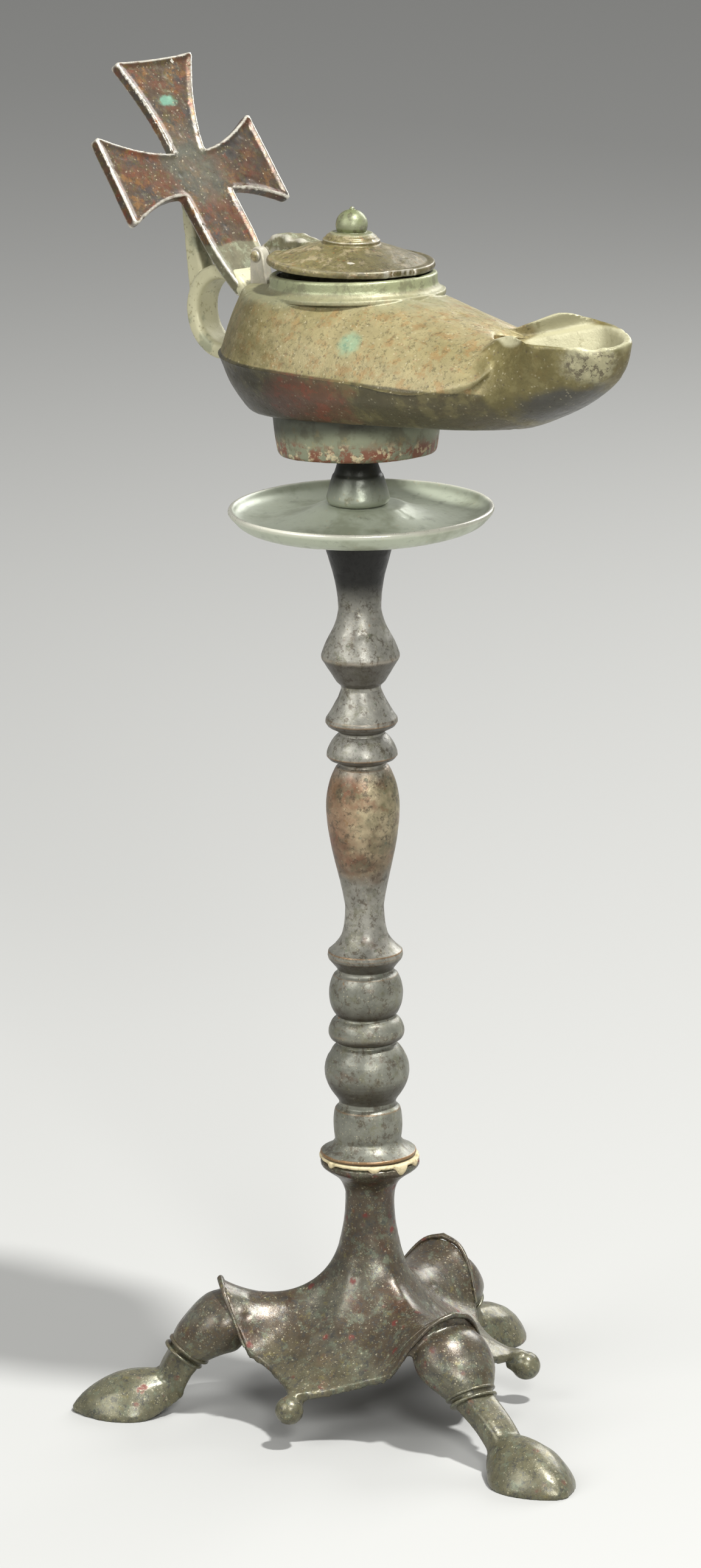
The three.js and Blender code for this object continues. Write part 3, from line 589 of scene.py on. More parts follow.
class Patina:
    """Node material for aged bronze: a ground colour, then layers laid over it through masks."""

    def __init__(self, name, ground, gloss=0.42, metal=0.35):
        self.material = bpy.data.materials.new(name)
        self.material.use_nodes = True
        self.tree = self.material.node_tree
        self.shader = self.tree.nodes["Principled BSDF"]
        self.shader.inputs["Metallic"].default_value = metal
        self.place = self.tree.nodes.new("ShaderNodeTexCoord").outputs["Object"]
        self.colour = self.rgb(ground)
        self.gloss = self.value(gloss)
        self.relief = self.value(0.0)

    def node(self, kind, **settings):
        made = self.tree.nodes.new(kind)
        for key, value in settings.items():
            setattr(made, key, value)
        return made

    def link(self, source, socket):
        self.tree.links.new(source, socket)

    def rgb(self, colour):
        made = self.node("ShaderNodeRGB")
        made.outputs[0].default_value = (*colour, 1)
        return made.outputs[0]

    def value(self, number):
        made = self.node("ShaderNodeValue")
        made.outputs[0].default_value = number
        return made.outputs[0]

    def feed(self, socket, item):
        if isinstance(item, (int, float)):
            socket.default_value = item
        else:
            self.link(item, socket)

    def math(self, operation, a, b=0.0, clamp=False):
        made = self.node("ShaderNodeMath", operation=operation, use_clamp=clamp)
        self.feed(made.inputs[0], a)
        self.feed(made.inputs[1], b)
        return made.outputs[0]

    def ramp(self, source, low, high):
        """0 below low, 1 above high, smooth between."""
        made = self.node("ShaderNodeMapRange", interpolation_type="SMOOTHSTEP")
        self.link(source, made.inputs["Value"])
        made.inputs["From Min"].default_value = low
        made.inputs["From Max"].default_value = high
        return made.outputs["Result"]

    def grain(self, size, detail=4.0, rough_share=0.6, seed=0.0):
        """Noise with lumps of that size in millimetres."""
        shift = self.node("ShaderNodeMapping")
        shift.inputs["Location"].default_value = (seed, seed * 0.7, -seed)
        self.link(self.place, shift.inputs["Vector"])
        made = self.node("ShaderNodeTexNoise")
        made.inputs["Scale"].default_value = 1000 / size
        made.inputs["Detail"].default_value = detail
        made.inputs["Roughness"].default_value = rough_share
        self.link(shift.outputs["Vector"], made.inputs["Vector"])
        return made.outputs["Fac"]

    def flecks(self, size, share, seed=0.0):
        """Scattered small flecks of that size in millimetres; a larger share means more of them."""
        cells = self.node("ShaderNodeTexVoronoi")
        cells.inputs["Scale"].default_value = 1000 / size
        shift = self.node("ShaderNodeMapping")
        shift.inputs["Location"].default_value = (seed, -seed, seed * 0.3)
        self.link(self.place, shift.inputs["Vector"])
        self.link(shift.outputs["Vector"], cells.inputs["Vector"])
        pick = self.node("ShaderNodeSeparateColor")
        self.link(cells.outputs["Color"], pick.inputs[0])
        chosen = self.ramp(pick.outputs[0], 1 - share, 1 - share + 0.02)
        near = self.math("SUBTRACT", 1.0, self.ramp(cells.outputs["Distance"], FLECK_CORE, FLECK_EDGE))
        ragged = self.ramp(self.grain(size * 0.5, 2, 0.7, seed=seed + 1), 0.35, 0.6)
        return self.math("MULTIPLY", self.math("MULTIPLY", chosen, near), ragged)

    def coordinate(self, matrix, direction):
        """Node value of a direction in a frame, in millimetres."""
        inverse = matrix.inverted()
        axis = self.node("ShaderNodeVectorMath", operation="DOT_PRODUCT")
        self.link(self.place, axis.inputs[0])
        axis.inputs[1].default_value = tuple(sum(direction[i] * inverse[i][k] for i in range(3)) / MM
                                             for k in range(3))
        return self.math("ADD", axis.outputs["Value"], sum(direction[i] * inverse[i][3] for i in range(3)))

    def uneven(self, ragged, size):
        """Noise from -ragged to ragged, to break up the edge of a mask."""
        return self.math("MULTIPLY", self.math("SUBTRACT", self.grain(size, 4), 0.5), ragged * 2)

    def zone(self, matrix, centre, radii, blur=0.3, ragged=0.45, size=6.0):
        """A patch of that centre and those radii in a frame, with an uneven edge."""
        spot = self.node("ShaderNodeCombineXYZ")
        for i in range(3):
            direction = [0, 0, 0]
            direction[i] = 1 / radii[i]
            part = self.math("SUBTRACT", self.coordinate(matrix, direction), centre[i] / radii[i])
            self.link(part, spot.inputs[i])
        away = self.node("ShaderNodeVectorMath", operation="LENGTH")
        self.link(spot.outputs["Vector"], away.inputs[0])
        edge = self.math("ADD", away.outputs["Value"], self.uneven(ragged, size))
        return self.math("SUBTRACT", 1.0, self.ramp(edge, 1 - blur, 1 + blur))

    def level(self, matrix, direction, low, high, ragged=0.0, size=5.0):
        """0 to 1 as a direction in a frame, in millimetres, runs from low to high."""
        height = self.coordinate(matrix, direction)
        if ragged:
            height = self.math("ADD", height, self.uneven(ragged, size))
        if low < high:
            return self.ramp(height, low, high)
        return self.math("SUBTRACT", 1.0, self.ramp(height, high, low))

    def edges(self, low, high):
        """Raised edges, worn bare."""
        made = self.node("ShaderNodeNewGeometry")
        return self.ramp(made.outputs["Pointiness"], low, high)

    def hollow_dirt_and_shade(self, low, high):
        """Inside corners and grooves: a mask for the dirt that lies there and for painted shade in them."""
        made = self.node("ShaderNodeNewGeometry")
        return self.math("SUBTRACT", 1.0, self.ramp(made.outputs["Pointiness"], low, high))

    def underside_shade_mask(self):
        """1 where the surface faces down: a mask for painted shade on undersides."""
        facing = self.node("ShaderNodeVectorMath", operation="DOT_PRODUCT")
        self.link(self.node("ShaderNodeNewGeometry").outputs["Normal"], facing.inputs[0])
        facing.inputs[1].default_value = (0, 0, -1)
        return self.ramp(facing.outputs["Value"], 0.0, UNDERSIDE_FULL)

    def times(self, *masks):
        result = masks[0]
        for mask in masks[1:]:
            result = self.math("MULTIPLY", result, mask)
        return result

    def lay(self, mask, colour, strength=1.0, gloss=None, raise_by=0.0):
        """Lays a colour over what is there, with its own gloss and height, where the mask is 1."""
        share = self.math("MULTIPLY", mask, strength, clamp=True)
        made = self.node("ShaderNodeMix", data_type="RGBA")
        self.link(share, made.inputs["Factor"])
        self.link(self.colour, made.inputs["A"])
        made.inputs["B"].default_value = (*colour, 1)
        self.colour = made.outputs["Result"]
        if gloss is not None:
            blend = self.node("ShaderNodeMix", data_type="FLOAT")
            self.link(share, blend.inputs["Factor"])
            self.link(self.gloss, blend.inputs["A"])
            blend.inputs["B"].default_value = gloss
            self.gloss = blend.outputs["Result"]
        if raise_by:
            self.relief = self.math("ADD", self.relief, self.math("MULTIPLY", share, raise_by))
        return self

    def spread(self, colour, strength, size, low, high, seed, detail=5, rough_share=0.7, within=None, **more):
        """Lays blotches of about that size in millimetres, over all of the skin or within a mask.

        They begin where the noise, which runs from 0 to 1, reaches low, and are full at high.
        """
        mask = self.ramp(self.grain(size, detail, rough_share, seed=seed), low, high)
        if within is not None:
            mask = self.times(within, mask)
        return self.lay(mask, colour, strength, **more)

    def speckle(self, colour, strength, size, share, seed, raise_by=0.4):
        """Lays dull raised grains of about that size in millimetres."""
        return self.lay(self.flecks(size, share, seed), colour, strength, gloss=0.7, raise_by=raise_by)

    def mottle(self, amount, size, seed, rough_share):
        """Varies how light the skin is, in lumps of about that size in millimetres."""
        return self.shade(self.math("SUBTRACT", self.grain(size, 6, rough_share, seed=seed), 0.5), amount)

    def shade(self, mask, amount):
        """Darkens or lightens what is there by up to that share."""
        factor = self.math("ADD", 1.0, self.math("MULTIPLY", mask, amount))
        made = self.node("ShaderNodeVectorMath", operation="SCALE")
        self.link(self.colour, made.inputs[0])
        self.link(factor, made.inputs["Scale"])
        self.colour = made.outputs["Vector"]
        return self

    def done(self, bump, fine=0.5):
        """Joins colour, gloss and relief to the shader, with a fine grain over all of it."""
        fine_grain = self.math("MULTIPLY", self.math("SUBTRACT", self.grain(FINE_SIZE, 3, 0.7), 0.5), fine)
        height = self.math("ADD", self.relief, fine_grain)
        made = self.node("ShaderNodeBump")
        made.inputs["Strength"].default_value = bump
        made.inputs["Distance"].default_value = RELIEF_DEPTH * MM
        self.link(height, made.inputs["Height"])
        self.link(made.outputs["Normal"], self.shader.inputs["Normal"])
        self.link(self.colour, self.shader.inputs["Base Color"])
        uneven = self.math("MULTIPLY", self.math("SUBTRACT", self.grain(SHEEN_SIZE, 3), 0.5), SHEEN_CHANGE)
        self.link(self.math("ADD", self.gloss, uneven, clamp=True), self.shader.inputs["Roughness"])
        return self.material


def lamp_point(u, v, w):
    return tuple(c * MM for c in LAMP_FRAME @ Vector((u, v, w)))


def base_patina(palette):
    skin = Patina("patina_base", palette.umber, gloss=0.31, metal=0.35)
    cloud = skin.grain(30, 4, 0.6, seed=1)
    skin.lay(skin.ramp(cloud, 0.46, 0.66), palette.slate, 0.6, gloss=0.27)
    skin.spread(palette.russet_dark, 0.5, 13, 0.54, 0.68, 4, rough_share=0.65)
    skin.lay(skin.level(BASE_FRAME, UP, 34, 14, 8, 12), palette.moss, 0.75, gloss=0.33)
    skin.spread(palette.verdigris_dull, 0.55, 5, 0.52, 0.62, 8, detail=6, rough_share=0.8)
    skin.spread(palette.slate_dark, 0.7, 2.2, 0.52, 0.6, 9, rough_share=0.8)
    skin.spread(palette.olive, 0.6, 3.4, 0.57, 0.63, 10, detail=6, rough_share=0.85)
    red = skin.ramp(skin.grain(16, 3, 0.6, seed=12), 0.46, 0.6)
    skin.lay(skin.times(red, skin.flecks(4.2, 0.3, seed=2)), palette.cuprite, 0.8, gloss=0.6, raise_by=-0.5)
    skin.speckle(palette.lime, 0.5, 1.1, 0.13, 5)
    skin.speckle(palette.lime, 0.4, 0.6, 0.2, 7, raise_by=0.3)
    skin.lay(skin.edges(0.53, 0.62), palette.verdigris_dull, 0.5, gloss=0.3)
    skin.mottle(1.6, 8, 6, 0.7)
    # Dirt and painted shade darken inside corners and grooves
    skin.shade(skin.hollow_dirt_and_shade(0.38, 0.47), -0.5)
    return skin.done(bump=0.45)


def shaft_patina(palette):
    skin = Patina("patina_shaft", palette.bloom, gloss=0.4, metal=0.4)
    cloud = skin.grain(18, 4, 0.6, seed=11)
    lower = skin.level(SHAFT_FRAME, UP, 172, 150, 10, 10)
    skin.lay(lower, palette.slate, 0.7)
    vase = skin.times(skin.level(SHAFT_FRAME, UP, 186, 200, 8, 8), skin.level(SHAFT_FRAME, UP, 232, 224, 3))
    skin.lay(vase, palette.olive, 0.8)
    skin.lay(skin.times(vase, skin.ramp(cloud, 0.42, 0.58)), palette.sand, 0.75)
    skin.spread(palette.brick, 0.5, 10, 0.46, 0.6, 14, detail=4, rough_share=0.6, within=vase)
    skin.lay(skin.times(vase, skin.level(SHAFT_FRAME, UP, 214, 196, 6)), palette.russet, 0.5)
    left = skin.level(SHAFT_FRAME, (0.7, 0.7, 0), 1, -8, 7)
    skin.lay(skin.times(vase, left), palette.brick, 0.5)
    skin.spread(palette.russet, 0.45, 9, 0.6, 0.72, 13, rough_share=0.65)
    skin.spread(palette.moss, 0.6, 6, 0.5, 0.64, 19, rough_share=0.75)
    skin.spread(palette.umber, 0.7, 3, 0.52, 0.6, 20, detail=6, rough_share=0.8)
    skin.lay(skin.edges(0.508, 0.54), palette.ochre, 0.75, gloss=0.36)
    skin.spread(palette.ochre, 0.55, 6, 0.64, 0.74, 17)
    skin.lay(skin.flecks(2.0, 0.1, seed=3), palette.verdigris_dull, 0.6, gloss=0.6, raise_by=0.4)
    skin.speckle(palette.lime, 0.5, 0.8, 0.16, 9)
    skin.mottle(1.5, 6, 18, 0.75)
    # Dirt and painted shade darken inside corners and grooves
    skin.shade(skin.hollow_dirt_and_shade(0.4, 0.485), -0.55)
    # Painted shade: undersides of the mouldings laid over with umber and darkened, standing in for the shade
    # under them
    skin.lay(skin.underside_shade_mask(), palette.umber, 0.6)
    skin.shade(skin.underside_shade_mask(), -0.45)
    # Painted shadow: the top of the shaft under the pan darkened strongly, standing in for the pan's cast
    # shadow
    skin.shade(skin.level(SHAFT_FRAME, UP, 282, 296), -0.95)
    return skin.done(bump=0.5)


def pan_patina(palette):
    skin = Patina("patina_pan", palette.celadon, gloss=0.38, metal=0.25)
    skin.spread(palette.sage, 0.6, 16, 0.45, 0.65, 21, detail=4, rough_share=0.6)
    skin.spread(palette.slate, 0.4, 6, 0.56, 0.7, 23)
    skin.speckle(palette.lime, 0.5, 1.6, 0.12, 25)
    skin.lay(skin.edges(0.515, 0.56), palette.worn, 0.8, gloss=0.25)
    # Dirt and painted shade darken inside corners and grooves
    skin.shade(skin.hollow_dirt_and_shade(0.4, 0.48), -0.4)
    return skin.done(bump=0.3)


def pricket_patina(palette):
    skin = Patina("patina_pricket", palette.slate, gloss=0.38, metal=0.45)
    skin.lay(skin.level(SHAFT_FRAME, UP, 334, 326, 2), palette.celadon, 0.7)
    skin.spread(palette.olive, 0.5, 4, 0.55, 0.7, 31)
    skin.speckle(palette.lime, 0.6, 1.4, 0.16, 33)
    # Dirt and painted shade darken inside corners and grooves
    skin.shade(skin.hollow_dirt_and_shade(0.4, 0.48), -0.4)
    # Painted shadow: the pricket darkened toward its top, standing in for the shadow of the lamp above it
    skin.shade(skin.level(SHAFT_FRAME, UP, 321, 333), -0.75)
    return skin.done(bump=0.35)


def bowl_patina(palette):
    skin = Patina("patina_bowl", palette.tan, gloss=0.45, metal=0.25)
    cloud = skin.grain(26, 4, 0.6, seed=41)
    skin.lay(skin.ramp(cloud, 0.44, 0.62), palette.olive, 0.6)
    skin.spread(palette.ochre, 0.45, 5, 0.5, 0.62, 43)
    skin.spread(palette.olive_dark, 0.5, 1.8, 0.53, 0.6, 44, detail=6, rough_share=0.8)
    skin.spread(palette.pink, 0.45, 2.6, 0.59, 0.65, 46, detail=6, rough_share=0.8)
    rear = skin.level(LAMP_FRAME, (1, -0.6, 0), 30, 6, 22, 16)
    skin.lay(skin.times(rear, skin.ramp(cloud, 0.3, 0.5)), palette.olive_brown, 0.45)
    back = skin.level(LAMP_FRAME, (1, 0, 0), 20, -20, 14, 12)
    skin.spread(palette.olive_brown, 0.55, 4, 0.46, 0.58, 39, within=back)
    # Keel below the hull's rim edge: dark olive patina, and partly painted shade of its downward-facing side
    keel = skin.level(LAMP_FRAME, (0.05, 0, 1), -23, -23.8, 0.3)
    skin.lay(keel, palette.olive_dark, 0.9, gloss=0.4)
    skin.spread(palette.olive, 0.5, 9, 0.48, 0.62, 42, rough_share=0.65, within=keel)
    red = skin.zone(LAMP_FRAME, (13, -35, -33), (19, 12, 10), 0.4, 0.7, 9)
    skin.lay(skin.times(keel, red), palette.russet, 0.85)
    skin.spread(palette.brick, 0.7, 6, 0.5, 0.6, 40, within=skin.times(keel, red))
    nozzle = skin.level(LAMP_FRAME, (1, 0, 0.4), 68, 73, 3, 8)
    skin.lay(nozzle, palette.olive_brown, 0.85)
    skin.spread(palette.olive, 0.7, 6, 0.48, 0.62, 48, within=nozzle)
    nose = skin.zone(LAMP_FRAME, (112, -6, -33), (26, 16, 9), 0.25, 0.35)
    skin.lay(nose, palette.slate_dark, 0.85, gloss=0.35)
    skin.speckle(palette.lime, 0.4, 1.1, 0.16, 47, raise_by=0.3)
    skin.lay(skin.flecks(1.4, 0.12, seed=49), palette.umber, 0.6, gloss=0.7, raise_by=-0.6)
    skin.lay(skin.zone(LAMP_FRAME, (29, -31.5, -13), (4, 4, 5), 0.4, 0.5), palette.turquoise, 0.4, gloss=0.6)
    crust = skin.zone(LAMP_FRAME, PATCH_MIDDLE, (9, 8, 7), 0.3, 0.6, 3)
    skin.lay(crust, palette.shell, 0.55, gloss=0.75)
    skin.spread(palette.umber, 0.8, 2.4, 0.5, 0.56, 37, rough_share=0.8, within=crust, raise_by=-1.0)
    # Painted shade: the keel darkened toward the back of the bowl
    skin.shade(skin.times(keel, skin.level(LAMP_FRAME, (1, 0, 0), 28, -10)), -0.58)
    skin.mottle(0.9, 5, 45, 0.75)
    skin.lay(skin.level(LAMP_FRAME, UP, -5, -1.5, 1.5), palette.sage, 0.5)
    skin.lay(skin.level(LAMP_FRAME, UP, 0.6, 1.4), palette.verdigris_pale, 0.7, gloss=0.3)
    skin.spread(palette.moss, 0.6, 6, 0.48, 0.6, 38, detail=4, within=skin.level(LAMP_FRAME, UP, 0, 1))
    inside = skin.zone(LAMP_FRAME, (97, 0, -8), (27.2, 16.8, 15), 0.04, 0.02)
    skin.lay(inside, palette.shell, 0.85)
    skin.spread(palette.olive, 0.5, 7, 0.54, 0.64, 50, detail=6, rough_share=0.75, within=inside)
    skin.lay(skin.edges(0.53, 0.6), palette.sage, 0.35, gloss=0.35)
    # Dirt and painted shade darken inside corners and grooves
    skin.shade(skin.hollow_dirt_and_shade(0.38, 0.47), -0.4)
    return skin.done(bump=0.5, fine=0.9)


def cross_patina(palette):
    skin = Patina("patina_cross", palette.russet, gloss=0.36, metal=0.45)
    skin.spread(palette.umber, 0.85, 13, 0.42, 0.56, 51, rough_share=0.65)
    skin.spread(palette.slate_dark, 0.7, 9, 0.5, 0.62, 52, rough_share=0.6)
    skin.spread(palette.olive_brown, 0.6, 3.2, 0.52, 0.6, 59, detail=6, rough_share=0.85)
    skin.spread(palette.brick, 0.6, 5, 0.56, 0.68, 53)
    skin.spread(palette.ochre, 0.6, 7, 0.54, 0.66, 54)
    skin.spread(palette.moss, 0.6, 4, 0.56, 0.66, 58, rough_share=0.75)
    middle = on_cross(0, 3, 0)
    skin.lay(skin.zone(LAMP_FRAME, middle, (13, 13, 14), 0.5, 0.5, 9), palette.slate, 0.6, gloss=0.3)
    patch = on_cross(1.5, 28.2, 0)
    skin.lay(skin.zone(LAMP_FRAME, patch, (2.2, 4.0, 2.2), 0.4, 0.8, 3), palette.turquoise, 0.6, gloss=0.6)
    root = skin.level(LAMP_FRAME, UP, 11.4, 10.2, 2.2, 9)
    skin.lay(root, palette.moss, 0.9, gloss=0.5)
    skin.spread(palette.sage, 0.7, 5, 0.5, 0.6, 56, within=root, gloss=0.6)
    skin.shade(skin.level(LAMP_FRAME, (0, 1, 0), 4, 30), -0.35)
    skin.mottle(1.2, 4, 60, 0.8)
    skin.speckle(palette.lime, 0.5, 0.9, 0.16, 57, raise_by=0.3)
    skin.lay(skin.edges(0.512, 0.55), palette.worn, 0.9, gloss=0.22)
    return skin.done(bump=0.45)


def ring_patina(palette):
    skin = Patina("patina_ring", palette.shell, gloss=0.5, metal=0.2)
    skin.spread(palette.sage, 0.7, 8, 0.52, 0.64, 61, rough_share=0.6)
    skin.spread(palette.olive, 0.6, 4, 0.56, 0.64, 62, detail=6, rough_share=0.8)
    skin.lay(skin.flecks(1.1, 0.16, seed=63), palette.umber, 0.5, gloss=0.6)
    skin.lay(skin.edges(0.53, 0.6), palette.worn, 0.4, gloss=0.3)
    # Dirt and painted shade darken inside corners and grooves
    skin.shade(skin.hollow_dirt_and_shade(0.4, 0.48), -0.4)
    return skin.done(bump=0.4)


def foot_ring_patina(palette):
    skin = Patina("patina_foot_ring", palette.sage, gloss=0.5, metal=0.25)
    skin.spread(palette.moss, 0.8, 8, 0.46, 0.62, 71, rough_share=0.65)
    skin.spread(palette.tan, 0.6, 4, 0.56, 0.66, 72)
    low = skin.level(LAMP_FRAME, UP, -48, -53, 3, 5)
    skin.spread(palette.brick, 0.85, 5, 0.44, 0.54, 73, within=low)
    skin.spread(palette.putty, 0.8, 3, 0.54, 0.62, 75, within=low, gloss=0.8, raise_by=0.6)
    # Painted shadow: the foot ring darkened toward its top, standing in for the bowl's shadow on it
    skin.shade(skin.level(LAMP_FRAME, (-0.1, 0, 1), -51, -45), -0.75)
    # Dirt and painted shade darken inside corners and grooves
    skin.shade(skin.hollow_dirt_and_shade(0.4, 0.48), -0.4)
    return skin.done(bump=0.4)


def lid_patina(palette):
    skin = Patina("patina_lid", palette.olive, gloss=0.4, metal=0.3)
    skin.spread(palette.olive_brown, 0.6, 10, 0.5, 0.66, 81, rough_share=0.65)
    skin.spread(palette.sand, 0.45, 6, 0.5, 0.62, 82, detail=6, rough_share=0.75)
    skin.spread(palette.umber, 0.7, 2.0, 0.53, 0.6, 83, detail=6, rough_share=0.8)
    skin.spread(palette.ochre, 0.6, 2.6, 0.56, 0.62, 84, detail=6, rough_share=0.85)
    skin.lay(skin.flecks(1.1, 0.24, seed=85), palette.tan, 0.6, gloss=0.6, raise_by=0.3)
    # Painted shade: the lid darkened toward its right-hand side, the nozzle end
    skin.shade(skin.level(LID_FRAME, (1, 0.4, 0), -14, 22), -0.5)
    skin.mottle(1.4, 3, 86, 0.8)
    strap = skin.zone(LAMP_FRAME, (-30, 0, 15), (14, 8, 9), 0.25, 0.4, 5)
    skin.lay(strap, palette.moss, 0.8, gloss=0.6)
    skin.spread(palette.sage, 0.8, 3, 0.5, 0.6, 87, within=strap, gloss=0.7, raise_by=0.7)
    stack = skin.zone(LID_FRAME, (LID_CENTRE, 0, LID_W + 14.6), (9.4, 9.4, 6.4), 0.08, 0.1)
    skin.lay(stack, palette.sage, 0.5)
    knob = skin.level(LID_FRAME, UP, LID_W + 11.2, LID_W + 12.0)
    skin.lay(knob, palette.verdigris, 0.8)
    skin.spread(palette.olive_dark, 0.7, 3, 0.5, 0.6, 88, within=knob)
    skin.lay(skin.edges(0.515, 0.56), palette.worn, 0.6, gloss=0.28)
    # Dirt and painted shade darken inside corners and grooves
    skin.shade(skin.hollow_dirt_and_shade(0.4, 0.48), -0.5)
    return skin.done(bump=0.4, fine=0.7)


def putty_finish(palette):
    skin = Patina("old_putty", palette.putty, gloss=0.85, metal=0.0)
    skin.spread(palette.tan, 0.7, 4, 0.5, 0.66, 91)
    skin.lay(skin.flecks(1.0, 0.2, seed=93), palette.umber, 0.4, gloss=0.9, raise_by=-0.4)
    return skin.done(bump=0.5)


def colour_property(label, note, value):
    return bpy.props.FloatVectorProperty(name=label, description=note, subtype="COLOR", size=3,
                                         min=0.0, max=1.0, default=srgb(*value))


class LampstandColours(bpy.types.PropertyGroup):
    """Colours of the bronze, its patina and what has dried on it."""

    umber: colour_property("Umber", "Dark brown ground of the stand", (72, 62, 48))
    bloom: colour_property("Bloom", "Light grey bloom on the shaft", (142, 140, 130))
    slate: colour_property("Slate", "Grey bloom on the metal", (96, 98, 86))
    slate_dark: colour_property("Dark slate", "Dark grey bloom on the metal", (60, 60, 58))
    moss: colour_property("Moss", "Grey-green patina of the legs", (100, 98, 76))
    olive: colour_property("Olive", "Olive patina", (112, 104, 66))
    # Dark olive is patina, and on the keel it also paints the shade under the bowl
    olive_dark: colour_property("Dark olive", "Patina under the bowl", (62, 57, 36))
    olive_brown: colour_property("Olive brown", "Ground of the lid and nozzle", (88, 80, 42))
    sage: colour_property("Sage", "Pale grey-green patina", (126, 130, 106))
    celadon: colour_property("Celadon", "Light grey-green of the pan", (172, 178, 158))
    tan: colour_property("Tan", "Earthy beige on the bowl", (136, 126, 90))
    ochre: colour_property("Ochre", "Yellow-brown stain", (128, 92, 48))
    russet: colour_property("Russet", "Red-brown oxide", (92, 60, 42))
    russet_dark: colour_property("Dark russet", "Dark red-brown oxide", (80, 52, 38))
    brick: colour_property("Brick", "Bright red-brown crust", (116, 60, 40))
    cuprite: colour_property("Cuprite", "Deep red specks", (100, 38, 32))
    sand: colour_property("Sand", "Pale beige patina", (184, 168, 136))
    shell: colour_property("Shell", "Pale lining of the nozzle", (178, 174, 142))
    pink: colour_property("Pink", "Pale red flecks", (134, 96, 72))
    verdigris: colour_property("Verdigris", "Green patina", (100, 108, 70))
    verdigris_dull: colour_property("Dull verdigris", "Grey-green specks", (104, 112, 94))
    verdigris_pale: colour_property("Pale verdigris", "Pale green bloom", (140, 146, 112))
    turquoise: colour_property("Turquoise", "Blue-green patch", (104, 160, 136))
    lime: colour_property("Lime", "Pale grains of lime", (176, 168, 140))
    worn: colour_property("Worn metal", "Bare edges", (204, 200, 186))
    putty: colour_property("Putty", "Cream fill between neck and shaft", (196, 182, 146))


def size_property(name, text, default, low, high):
    return bpy.props.FloatProperty(name=name, description=text + " in millimetres", default=default,
                                   min=low, max=high)


class LampstandSizes(bpy.types.PropertyGroup):
    """Fineness of the skin."""

    base_cell: size_property("Base cell", "Mesh cell of the base", 0.95, 0.4, 3.0)
    bowl_edge: size_property("Bowl edge", "Longest mesh edge of the bowl", 2.4, 0.5, 4.0)
    fine_cell: size_property("Fine cell", "Mesh cell of cross and ring", 0.5, 0.3, 2.0)
    lid_edge: size_property("Lid edge", "Longest mesh edge of the lid", 1.3, 0.3, 4.0)
    pits: size_property("Pits", "Depth of the larger pits", 0.2, 0.0, 1.0)


class LampstandStage(bpy.types.PropertyGroup):
    """Floor, lights and camera."""

    floor: colour_property("Floor", "Plain pale floor", (164, 164, 161))
    lens: bpy.props.FloatProperty(name="Lens", description="Focal length in millimetres", default=122.6,
                                  min=20.0, max=400.0)
    pitch: bpy.props.FloatProperty(name="Pitch", description="Angle the camera looks down", subtype="ANGLE",
                                   default=math.radians(14.45))
    key: bpy.props.FloatProperty(name="Key light", description="Power of the key light in watts",
                                 default=60.0, min=0.0)
    fill: bpy.props.FloatProperty(name="Fill light", description="Strength of the even light all round",
                                  default=0.38, min=0.0)


# Steps of the canopy from a leg to the tip beside it, and from its top to its edge
CANOPY_SIDE = 40
CANOPY_FALL = 30


def canopy_bearings():
    """Bearings round the canopy, each with its share of the way from a leg to the tip beside it."""
    out = []
    side = CANOPY_SIDE
    for i, leg in enumerate(LEGS):
        start = leg["bearing"]
        middle = start + (leg["tip"] - start) % 360
        end = start + (LEGS[(i + 1) % len(LEGS)]["bearing"] - start) % 360
        out += [(mix(start, middle, j / side), j / side) for j in range(side)]
        out += [(mix(middle, end, j / side), 1 - j / side) for j in range(side)]
    return out


# Where the fall of the canopy begins and where it flares, as (radius, height)
CANOPY_TOP = (9.7, 64)
CANOPY_HOLLOW_TOP = (0.5, 44)
CANOPY_FLARE = (12, 42)
CANOPY_HOLLOW_FLARE = (10, 42)

# Lines of the canopy by the turn in degrees from a leg toward the tip beside it
CANOPY_TURN = 60
EDGE_RADIUS = ((0, CUFF_REACH), (10, 51.4), (18, 49.2), (CUFF_HALF_ANGLE, CUFF_END_RADIUS), (32, 44),
               (46, 45), (56, 50), (CANOPY_TURN, TIP_REACH))
EDGE_Z = ((0, CUFF_LIP_Z), (8, 44.5), (16, 36.5), (CUFF_HALF_ANGLE, CUFF_END_Z), (32, 23.4), (46, 20.2),
          (CANOPY_TURN, TIP_Z))
MIDDLE_RADIUS = ((0, 36), (25, 28), (CANOPY_TURN, 30))
MIDDLE_Z = ((0, 36), (20, 33), (CANOPY_TURN, 27))


def canopy_rings(inward):
    """Rings of the canopy from its top to its edge, for the outer or the hollow side."""
    rings = []
    bearings = canopy_bearings()
    for i in range(CANOPY_FALL + 1):
        t = i / CANOPY_FALL
        ring = []
        for bearing, way in bearings:
            off = way * CANOPY_TURN
            drop = CANOPY_THICKNESS if inward else 0
            nodes = (CANOPY_HOLLOW_TOP if inward else CANOPY_TOP,
                     CANOPY_HOLLOW_FLARE if inward else CANOPY_FLARE,
                     (along(MIDDLE_RADIUS, off), along(MIDDLE_Z, off) - drop),
                     (along(EDGE_RADIUS, off) - drop * 0.3, along(EDGE_Z, off) - drop))
            u = 1 - t
            weight = (u ** 3, 3 * u * u * t, 3 * u * t * t, t ** 3)
            radius = sum(w * n[0] for w, n in zip(weight, nodes))
            z = sum(w * n[1] for w, n in zip(weight, nodes))
            turn = math.radians(bearing)
            ring.append((radius * math.cos(turn), radius * math.sin(turn), z))
        rings.append(ring)
    return rings


